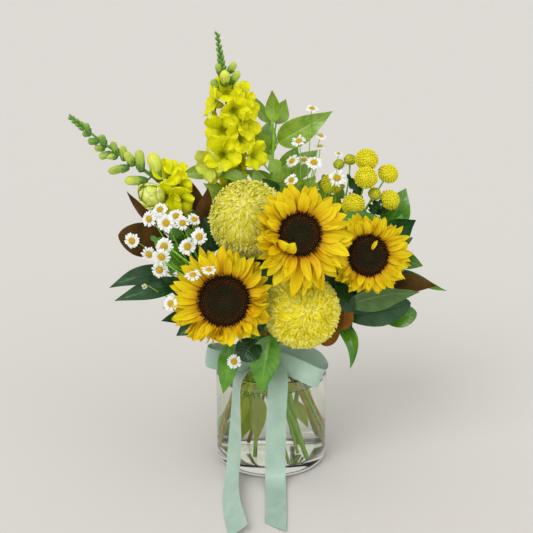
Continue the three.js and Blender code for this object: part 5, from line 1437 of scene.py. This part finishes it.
class BOUQUET_OT_buttons(bpy.types.Operator):
    """Grow the spray of button chrysanthemums"""

    bl_idname = "bouquet.buttons"
    bl_label = "Button chrysanthemums"

    def execute(self, context):
        end = seen(BUTTONS["end"])
        line, above = stem_line(BUTTONS, BUTTONS["stem"], end, unit(np.array([0.1, 0, 1])))
        spray = Shape()
        add_stem(spray, line, BUTTONS["stem"], SPRAY_CUT, SPRAY_STALK)
        poms = BUTTONS["poms"]
        for k, (column, row, depth, radius) in enumerate(poms):
            centre = seen((column, row, depth))
            way = unit(unit(centre - end) + np.array([0, -0.9, 0.35]))
            green = 0.85 if radius < 9 else 0.12
            head = pom(radius, centre, way, SEEDS["pom"] + k, green)
            name = f"button_pom_{k + 1}"
            head.place(f"fine_{name}", [make_pom_floret], "button_yellow", name)
            under = centre - way * (POM_FLAT * radius + GAP)
            fork = fork_of(above, k, len(poms))
            low = (under - way * 14) * 0.75 + end * 0.25
            branch = bezier((fork, (fork + low) / 2, low, under), 16)
            spray.tube(branch, np.linspace(1.2, 1.0, 16), 8, SPRAY_STALK)
            cup = [(0, -2.4), (1.3, -2.2), (radius * 0.34, -0.4), (radius * 0.45, 1.2), (radius * 0.3, 0.3),
                   (0, 0.2)]
            spray.turn(cup, 14, under, way, SPRAY_CALYX, 0.3, lambda a, s: 1 + 0.1 * np.cos(7 * a) * s)
        for base, tip, width, turn in SPRAY_LEAVES:
            add_lobed_leaf(spray, seen(base), seen(tip), width, turn, SPRAY_LEAF, 0.3)
        spray.place("fine_button_spray", SPRAY, "stem_green", "button_spray")
        return {"FINISHED"}


# ------------ feverfew

# The finishes of a feverfew spray, and their places.
DAISIES = (make_ray_white, make_eye_yellow, make_stem_green, make_stem_cut)
RAY, DAISY_EYE, DAISY_STALK, DAISY_CUT = range(4)
RAY_ROWS = 6
EYE_FLORETS = 40
EYE_PROFILE = ((1, -0.6), (0.9, 0.3), (0.55, 0.85), (0, 1))


def add_daisy(shape, centre, way, full_radius, seed):
    """A feverfew head: white rays round a domed yellow eye, with a green cup beneath."""
    draws = np.random.default_rng(seed)
    side, up = across_of(way)
    radius = full_radius * draws.uniform(0.94, 1.1)
    count = draws.integers(15, 19) if radius > 6 else 12
    share = np.linspace(0, 1, RAY_ROWS)
    turn = 2 * math.pi * (np.arange(count) + draws.uniform(-0.22, 0.22, count)) / count
    radial = side * np.cos(turn)[:, None] + up * np.sin(turn)[:, None]
    rise = draws.uniform(0.0, 0.4, count)[:, None] - draws.uniform(0.2, 1.1, count)[:, None] * share
    step = radial[:, None] * np.cos(rise)[..., None] + way * np.sin(rise)[..., None]
    reach = radius * 0.74 * draws.uniform(0.8, 1.1, count)
    lines = centre + radial[:, None] * radius * 0.3
    lines = lines + np.cumsum(step, axis=1) * (reach / RAY_ROWS)[:, None, None]
    faces = way * np.cos(rise)[..., None] - radial[:, None] * np.sin(rise)[..., None]
    half = radius * 0.15 * draws.uniform(0.8, 1.15, count)
    halves = half[:, None] * np.interp(share, (0, 0.3, 0.7, 0.92, 1), (0.55, 0.9, 1, 0.8, 0.3))
    columns = np.linspace(-1, 1, 5)
    lifts = 0.25 * halves[..., None] * (columns**2 - 0.5 * np.cos(2 * math.pi * columns))
    shape.blades(lines, faces, halves, lifts, 0.25, draws.uniform(0, 1, count), (RAY, RAY))
    eye = radius * 0.34
    spots = ball_spots(EYE_FLORETS, 0.1)
    axes = np.stack([side, up, way])
    places = centre + (spots * [eye, eye, eye * 0.62]) @ axes + way * 0.2
    sizes = np.full(EYE_FLORETS, eye * 0.17)
    shape.studs(places, spots @ axes, sizes, eye * 0.22, EYE_PROFILE, 0.5, DAISY_EYE)
    dome = [(0, -1.4), (eye, -1.0), (eye * 1.05, 0.0), (eye * 0.8, eye * 0.45), (0, eye * 0.6)]
    shape.turn(dome, 14, centre, way, DAISY_EYE)
    cup = [(0, -3.2), (0.9, -3.0), (eye * 0.9, -2.0), (eye * 1.25, -0.5), (eye * 1.05, -0.3), (0, -0.6)]
    shape.turn(cup, 14, centre, way, DAISY_STALK, 0.4)


class BOUQUET_OT_feverfew(bpy.types.Operator):
    """Grow the sprays of feverfew"""

    bl_idname = "bouquet.feverfew"
    bl_label = "Feverfew"

    def execute(self, context):
        for name, item in FEVERFEW.items():
            line, above = spray_line(item, WAIST["z"] - 40)
            shape = Shape()
            add_stem(shape, line, item["stem"], DAISY_CUT, DAISY_STALK, 10)
            for k, (column, row, depth, radius, azimuth, rise, *past) in enumerate(item["heads"]):
                centre = seen((column, row, depth))
                way = facing(azimuth, rise)
                fork = fork_of(above, k, len(item["heads"]))
                middle = seen(past[0]) if past else fork * 0.45 + centre * 0.55 + np.array([0, 3, -5])
                behind = centre - way * 2
                stalk = through((fork, middle, behind - way * 6, behind), 18)
                shape.tube(stalk, np.linspace(0.75, 0.5, 18), 7, DAISY_STALK)
                add_daisy(shape, centre, way, radius, SEEDS["daisy"] + DAISY_SEED_STEP * k)
            shape.place(f"fine_{name}", DAISIES, "feverfew_white", name)
        return {"FINISHED"}


# ------------ foliage

# What each kind of leafy stem has: the finishes of its leaves' two sides, and its slot.
KINDS = {
    "bright": (make_leaf_bright_upper, make_leaf_bright_under, "leaf_bright"),
    "young": (make_leaf_young_upper, make_leaf_bright_under, "leaf_bright"),
    "dark": (make_leaf_dark_upper, make_leaf_dark_under, "leaf_dark"),
    "brown": (make_leaf_dark_upper, make_leaf_suede, "leaf_brown"),
}
# The finishes of every leafy stem after those two, in the order of their places.
LEAFY_STEM = (make_stem_green, make_stem_wood, make_stem_cut, make_leaf_rust, make_leaf_dark_upper,
              make_leaf_bright_upper, make_leaf_suede)
LEAF_ROWS = 41
LEAF_COLUMNS = 11
LEAF_THICKNESS = 1.0
LEAF_NODES = 26


def add_leaf(shape, leaf, stalk_from, draw, seed, marks):
    """A leaf with its rib, the swell between its side veins, a waved edge and its stalk."""
    base_at, tip_at, width, face_turn, bow, fold, *rest = leaf
    rounded = bool(rest) and rest[0]
    bend = rest[1] if len(rest) > 1 else 0
    draws = np.random.default_rng(seed)
    base = seen(base_at)
    tip = seen(tip_at)
    along = unit(tip - base)
    face = turned(towards_viewer(along), along, math.radians(face_turn))
    share = np.linspace(0, 1, LEAF_ROWS)
    aside = np.cross(face, along) * bend
    line = bezier((base, (base + tip) / 2 - face * 2 * bow + aside * 2, tip), LEAF_ROWS)
    if rounded:
        outline = np.sin(math.pi * share**1.15) ** 0.6 * 1.02
    else:
        outline = 1.3 * np.sin(math.pi * share**0.75) * (1 - 0.28 * share)
    outline = np.maximum(outline, 0.0) + 0.03 * (1 - share)
    halves = np.maximum(width / 2 * outline, 0.04)
    columns = np.linspace(-1, 1, LEAF_COLUMNS)
    out = np.abs(columns)
    lifts = halves[:, None] * math.sin(fold) * out**1.4
    phase = draws.uniform(0, 6)
    swell = 0.028 * width * np.cos(2 * math.pi * (share[:, None] * 8 - out * 1.76)) * out * (1 - out) * 2
    lifts = lifts + swell * np.sin(math.pi * share)[:, None]
    wave = 0.035 * width * np.sin(share * draws.uniform(9, 14) + phase) * np.sin(math.pi * share)
    lifts = lifts + wave[:, None] * columns * out + 0.5 * wave[::-1][:, None] * columns**2
    faces = np.repeat(face[None], LEAF_ROWS, axis=0)
    narrowed = halves * math.cos(fold)
    shape.blades(line[None], faces[None], narrowed[None], lifts[None], LEAF_THICKNESS, draw, marks)
    rib = line - face * 0.85
    shape.tube(rib[:-2], np.linspace(1.0, 0.28, LEAF_ROWS - 2), 7, marks[1], draw)
    middle = stalk_from * 0.4 + base * 0.6 + np.array([0, 0, -4])
    shape.tube(bezier((stalk_from, middle, base - face * 0.2), 14), 1.05, 8, LEAF_STALK, draw)


class BOUQUET_OT_foliage(bpy.types.Operator):
    """Grow the leafy stems"""

    bl_idname = "bouquet.foliage"
    bl_label = "Foliage"

    def execute(self, context):
        seed = SEEDS["leaf"]
        for name, item in BRANCHES.items():
            line, above = spray_line(item, WAIST["z"])
            shape = Shape()
            woody = item["kind"] in ("dark", "brown")
            add_stem(shape, line, item["stem"], LEAFY_CUT, BARK if woody else LEAF_STALK)
            joints = evenly(above, LEAF_NODES)[1:-1]
            for number, leaf in enumerate(item["leaves"]):
                base = seen(leaf[0])
                climb = np.maximum(0, joints[:, 2] - base[2] + 6)
                effort = np.linalg.norm(joints - base, axis=1) + 0.7 * climb
                seed += 1
                draw = np.random.default_rng(seed).uniform(0, 1)
                sides = LEAF_SIDES.get((name, number), (OWN_UPPER, OWN_UNDER))
                add_leaf(shape, leaf, joints[int(np.argmin(effort))], draw, seed, sides)
            for base_at, tip_at, width, turn in RAGGED.get(name, ()):
                base = seen(base_at)
                add_lobed_leaf(shape, base, seen(tip_at), width, turn, BRIGHT if woody else OWN_UPPER, 0.6)
                stalk_from = joints[int(np.argmin(np.linalg.norm(joints - base, axis=1)))]
                stalk = bezier((stalk_from, (stalk_from + base) / 2, base), 8)
                shape.tube(stalk, 0.9, 7, LEAF_STALK)
            upper, under, slot = KINDS[item["kind"]]
            shape.place(f"fine_{name}", (upper, under, *LEAFY_STEM), slot, name)
        return {"FINISHED"}


# ------------ vase and water

ROUND_SIDES = 128
INNER_CORNER = 5
UPRIGHT = np.array([0, 0, 1.0])


def arc(centre, radius, start, end, steps):
    """Points of a profile on an arc, in degrees from the profile's +x."""
    turns = np.radians(np.linspace(start, end, steps))
    return [(centre[0] + radius * math.cos(t), centre[1] + radius * math.sin(t)) for t in turns]


class BOUQUET_OT_vase(bpy.types.Operator):
    """Turn the glass vase"""

    bl_idname = "bouquet.vase"
    bl_label = "Glass vase"

    def execute(self, context):
        radius, height, wall, base, heel = (VASE[k] for k in ("radius", "height", "wall", "base", "heel"))
        inner = radius - wall
        lip = wall / 2
        corner = INNER_CORNER
        profile = [(0, 0.8), (radius * 0.6, 0.6), (radius - heel - 6, 0.0), (radius - heel, 0.0)]
        profile += arc((radius - heel, heel), heel, -80, 0, 9)
        profile += [(radius, height * s) for s in (0.2, 0.45, 0.7, 0.9)]
        profile += arc((radius - lip, height - lip), lip, 0, 180, 9)
        profile += [(inner, height * s) for s in (0.9, 0.7, 0.45, 0.22)]
        profile += arc((inner - corner, base + corner), corner, 0, -90, 7)
        profile += [(inner * 0.5, base + 0.3), (0, base + 0.5)]
        shape = Shape()
        shape.turn(profile, ROUND_SIDES, np.zeros(3), UPRIGHT)
        shape.place("fine_vase", [make_glass], "vase_glass", "vase")
        return {"FINISHED"}


class BOUQUET_OT_water(bpy.types.Operator):
    """Fill the vase with water, a little into the glass so that no air shows between them"""

    bl_idname = "bouquet.water"
    bl_label = "Water"

    def execute(self, context):
        level = context.scene.bouquet_vase.water_level / MM
        inner = VASE["radius"] - VASE["wall"] + 0.25
        bottom = VASE["base"] - 0.1
        corner = INNER_CORNER
        profile = [(0, bottom + 0.3), (inner * 0.5, bottom + 0.1)]
        profile += arc((inner - corner, bottom + corner), corner, -90, 0, 7)
        profile += [(inner, level * 0.5), (inner, level * 0.8), (inner, level + 1.6)]
        profile += [(inner - 0.5, level + 1.0), (inner - 1.5, level + 0.35), (inner - 3, level)]
        profile += [(inner * 0.5, level), (0, level)]
        shape = Shape()
        shape.turn(profile, ROUND_SIDES, np.zeros(3), UPRIGHT)
        shape.place("fine_water", [make_water], "water", "water")
        return {"FINISHED"}


# ------------ ribbon

SATIN = (make_ribbon_satin,)
# The middle lines of the tails from the knot down the vase and along the surface, and of the loops.
RIBBON_TAILS = {
    "right": ((0, -43, 150), (6, -60, 143), (8, -73.6, 133), (6.5, -74, 100), (5.5, -74.5, 60),
              (5, -76, 30), (5, -81, 12), (5.2, -92, 4), (5.6, -110, 1.2), (5.5, -150, 0.9),
              (4.6, -188, 0.9)),
    "left": ((-4, -43, 152), (-26, -58, 150), (-40, -68, 138), (-42.5, -69, 120), (-43.5, -68, 90),
             (-44.5, -69, 62), (-45.8, -70.5, 40), (-47.2, -76, 22), (-48.6, -89, 9), (-49.4, -108, 2.4),
             (-47, -150, 0.9), (-38, -205, 0.9)),
}
RIBBON_LOOPS = {
    "right": ((2, -43, 153), (20, -60, 151), (40, -72, 146), (54, -75, 140.5), (61.5, -68, 137.5),
              (62, -57, 140.5), (52, -46, 152), (28, -42, 160), (3, -42, 158)),
    "left": ((-2, -43, 153), (-22, -62, 156), (-48, -72, 160), (-70, -72, 163), (-79, -64, 164),
             (-74, -53, 164), (-50, -48, 161), (-26, -45, 157), (-3, -42, 155)),
}
# How far the end of each tail slants, and how high a tail lies over the surface.
END_SLANTS = {"right": 11, "left": -4}
LYING = 0.9
TAIL_STEPS = 110
LOOP_STEPS = 70
TIE_STEPS = 73
RIBBON_COLUMNS = 9
RIBBON_THICKNESS = 0.28


def add_ribbon(shape, line, across, half, wave=0.0, slants=0.0):
    """A strip of satin along a line, its width along across at each point."""
    way = unit(np.gradient(line, axis=0))
    level = unit(across - way * np.sum(across * way, axis=1, keepdims=True))
    face = np.cross(way, level)
    columns = np.linspace(-1, 1, RIBBON_COLUMNS)
    share = np.linspace(0, 1, len(line))[:, None]
    lifts = wave * (0.7 * np.sin(share * 11 + columns * 1.4) + 0.4 * columns**2)
    halves = np.full((1, len(line)), half)
    shape.blades(line[None], face[None], halves, lifts[None], RIBBON_THICKNESS, 0.5, slants=slants)


def tail_roll(side, line, lying):
    """How far a tail is rolled about its line at each point, in radians."""
    share = np.linspace(0, 1, TAIL_STEPS)
    if side == "left":
        roll = np.radians(68 - 24 * eased(share, 0.2, 0.56) - 6 * lying - 12 * eased(share, 0.8, 1.0))
    else:
        roll = np.radians(18 * (1 - eased(share, 0.25, 0.5)) + 4 * lying)
    return roll * eased(share, 0.0, 0.2)


class BOUQUET_OT_ribbon(bpy.types.Operator):
    """Tie the ribbon and lay its tails"""

    bl_idname = "bouquet.ribbon"
    bl_label = "Ribbon"

    def execute(self, context):
        width = context.scene.bouquet_ribbon.width
        half = width / MM / 2
        for side, route in RIBBON_TAILS.items():
            line = through(route, TAIL_STEPS)
            lying = eased(-line[:, 1], 74, 112)
            roll = tail_roll(side, line, lying)
            line[:, 2] = np.maximum(line[:, 2], LYING) + half * np.sin(roll) * lying
            way = unit(np.gradient(line, axis=0))
            nearer = np.stack([np.zeros(TAIL_STEPS), way[:, 2], -way[:, 1]], axis=1)
            across = np.sin(roll)[:, None] * nearer
            across[:, 0] += np.cos(roll)
            slants = END_SLANTS[side] * eased(np.linspace(0, 1, TAIL_STEPS), 0.86, 1.0)
            shape = Shape()
            add_ribbon(shape, line, across, half, 0.5, slants[None])
            nodes = ["ribbon"] if side == "right" else []
            tail = shape.place(f"ribbon_tail_{side}", SATIN, "ribbon_satin", *nodes)
        for side, route in RIBBON_LOOPS.items():
            line = through(route, LOOP_STEPS)
            away = 1 if side == "right" else -1
            middle = eased(np.sin(math.pi * np.linspace(0, 1, LOOP_STEPS)), 0.15, 0.8)
            outward = (0.22 + 0.16 * away) * middle
            across = np.stack([outward, np.full(LOOP_STEPS, 0.05), 1 - 0.1 * middle], axis=1)
            shape = Shape()
            add_ribbon(shape, line, across, half, 0.9)
            loop = shape.place(f"ribbon_loop_{side}", SATIN, "ribbon_satin")
        turn = np.linspace(0, 2 * math.pi, TIE_STEPS)
        ring = TIE["radius"] + 0.4
        line = np.stack([ring * np.sin(turn), -ring * np.cos(turn), np.full(TIE_STEPS, TIE["z"])], axis=1)
        shape = Shape()
        add_ribbon(shape, line, np.tile(UPRIGHT, (TIE_STEPS, 1)), TIE["width"] / 2)
        tie = shape.place("ribbon_tie", SATIN, "ribbon_satin")
        knot = Shape()
        middle = np.array([0, -TIE["radius"] - 6, TIE["z"]])
        knot.turn(ball_profile(9.5, 8, 12), 28, middle, np.array([0, -1.0, 0]),
                  wave=lambda a, s: 1 + 0.09 * np.cos(2 * a) + 0.05 * np.sin(9 * a))
        knot.place("ribbon_knot", SATIN, "ribbon_satin")
        return {"FINISHED"}


# ------------ stage

# The lamps: place, softness (degrees) and power.
LAMPS = {"key": ((-0.9, -1.5, 1.9), 35, 1.15), "fill": ((1.4, -1.6, 1.2), 60, 0.45)}
LIT_POINT = (0, 0, 0.2)
SENSOR_WIDTH = 36


def aim(lamp, target):
    """Turns a lamp to shine at a point."""
    lamp.rotation_euler = (Vector(target) - lamp.location).to_track_quat("-Z", "Y").to_euler()


class BOUQUET_OT_stage(bpy.types.Operator):
    """Set the floor, the lights and the camera"""

    bl_idname = "bouquet.stage"
    bl_label = "Stage"

    def execute(self, context):
        scene = context.scene
        scene.view_settings.view_transform = "Standard"
        world = bpy.data.worlds.new("studio")
        world.use_nodes = True
        background = world.node_tree.nodes["Background"]
        background.inputs["Color"].default_value = tint("#fbf9f6")
        background.inputs["Strength"].default_value = 0.76
        scene.world = world
        bpy.ops.mesh.primitive_plane_add(size=60, location=(0, 20, 0))
        floor = context.active_object
        floor.name = "floor"
        plain = Finish("plain floor", Roughness=0.85, Specular_IOR_Level=0.2).colour(tint("#d9d6d2"))
        floor.data.materials.append(plain.material)
        for name, (place, softness, power) in LAMPS.items():
            light = bpy.data.lights.new(name, "SUN")
            light.angle = math.radians(softness)
            light.energy = power
            lamp = bpy.data.objects.new(name, light)
            scene.collection.objects.link(lamp)
            lamp.location = place
            aim(lamp, LIT_POINT)
        lens = bpy.data.cameras.new("camera")
        lens.sensor_width = SENSOR_WIDTH
        lens.lens = FOCAL / FRAME_PIXELS * SENSOR_WIDTH
        camera = bpy.data.objects.new("camera", lens)
        scene.collection.objects.link(camera)
        camera.location = EYE * MM
        camera.rotation_euler = (math.pi / 2 - PITCH, 0, 0)
        scene.camera = camera
        return {"FINISHED"}


# ------------ settings, panel and run


def colour_setting(name, description, code):
    """A colour that a user can change, with its default in hex."""
    return FloatVectorProperty(name=name, description=description, default=tint(code)[:3], min=0.0, max=1.0,
                               size=3, subtype="COLOR")


class SunflowerSettings(bpy.types.PropertyGroup):
    """Sizes of the sunflowers"""

    front_petals: IntProperty(name="Front petals", description="Petals in a head's front layer", default=27)
    back_petals: IntProperty(name="Back petals", description="Petals in a head's back layer", default=28)
    petal_width: FloatProperty(name="Petal width", description="Widest part of a petal", default=0.0142,
                               unit="LENGTH")


class ChrysanthemumSettings(bpy.types.PropertyGroup):
    """Sizes of the large chrysanthemums"""

    petals: IntProperty(name="Petals", description="Petals of a large chrysanthemum", default=2200)


class VaseSettings(bpy.types.PropertyGroup):
    """Sizes and colours of the vase and its water"""

    water_level: FloatProperty(name="Water level", description="Height of the water over the vase's foot",
                               default=WATER_TOP * MM, unit="LENGTH")
    glass_colour: colour_setting("Glass colour", "Tint of the glass", "#fdfefe")
    water_colour: colour_setting("Water colour", "Tint of the water", "#fcfef4")


class RibbonSettings(bpy.types.PropertyGroup):
    """Size and colours of the ribbon"""

    width: FloatProperty(name="Ribbon width", description="Width of the satin ribbon", default=0.025,
                         unit="LENGTH")
    # The satin's colour in the light patches, which are painted sheen, and in the darker ones, which are
    # painted shade.
    colour: colour_setting("Ribbon colour", "Colour of the satin", "#aecaba")
    shaded_colour: colour_setting("Dull ribbon colour", "Colour of the satin's darker patches", "#9cb9a8")


OPERATORS = (
    BOUQUET_OT_stage, BOUQUET_OT_sunflowers, BOUQUET_OT_chrysanthemums, BOUQUET_OT_snapdragons,
    BOUQUET_OT_buttons, BOUQUET_OT_feverfew, BOUQUET_OT_foliage, BOUQUET_OT_ribbon, BOUQUET_OT_water,
    BOUQUET_OT_vase,
)
SETTINGS = {
    "bouquet_sunflowers": SunflowerSettings,
    "bouquet_chrysanthemums": ChrysanthemumSettings,
    "bouquet_vase": VaseSettings,
    "bouquet_ribbon": RibbonSettings,
}


class BOUQUET_PT_panel(bpy.types.Panel):
    """Lists the pieces of the bouquet and their sizes"""

    bl_idname = "BOUQUET_PT_panel"
    bl_label = "Vase of sunflowers"
    bl_space_type = "VIEW_3D"
    bl_region_type = "UI"
    bl_category = "Bouquet"

    def draw(self, context):
        for name, settings in SETTINGS.items():
            box = self.layout.box()
            for prop in settings.__annotations__:
                box.prop(getattr(context.scene, name), prop)
        for operator in OPERATORS:
            self.layout.operator(operator.bl_idname)


def register():
    """Makes the classes and their settings known."""
    for kind in (*SETTINGS.values(), *OPERATORS, BOUQUET_PT_panel):
        bpy.utils.register_class(kind)
    for name, settings in SETTINGS.items():
        setattr(bpy.types.Scene, name, PointerProperty(type=settings))


def unregister():
    """Takes the settings and the classes back."""
    for name in SETTINGS:
        delattr(bpy.types.Scene, name)
    for kind in reversed((*SETTINGS.values(), *OPERATORS, BOUQUET_PT_panel)):
        bpy.utils.unregister_class(kind)


def main():
    """Builds the whole bouquet."""
    register()
    bpy.ops.bouquet.stage()
    bpy.ops.bouquet.sunflowers()
    bpy.ops.bouquet.chrysanthemums()
    bpy.ops.bouquet.snapdragons()
    bpy.ops.bouquet.buttons()
    bpy.ops.bouquet.feverfew()
    bpy.ops.bouquet.foliage()
    bpy.ops.bouquet.ribbon()
    bpy.ops.bouquet.water()
    bpy.ops.bouquet.vase()


if __name__ == "__main__":
    main()
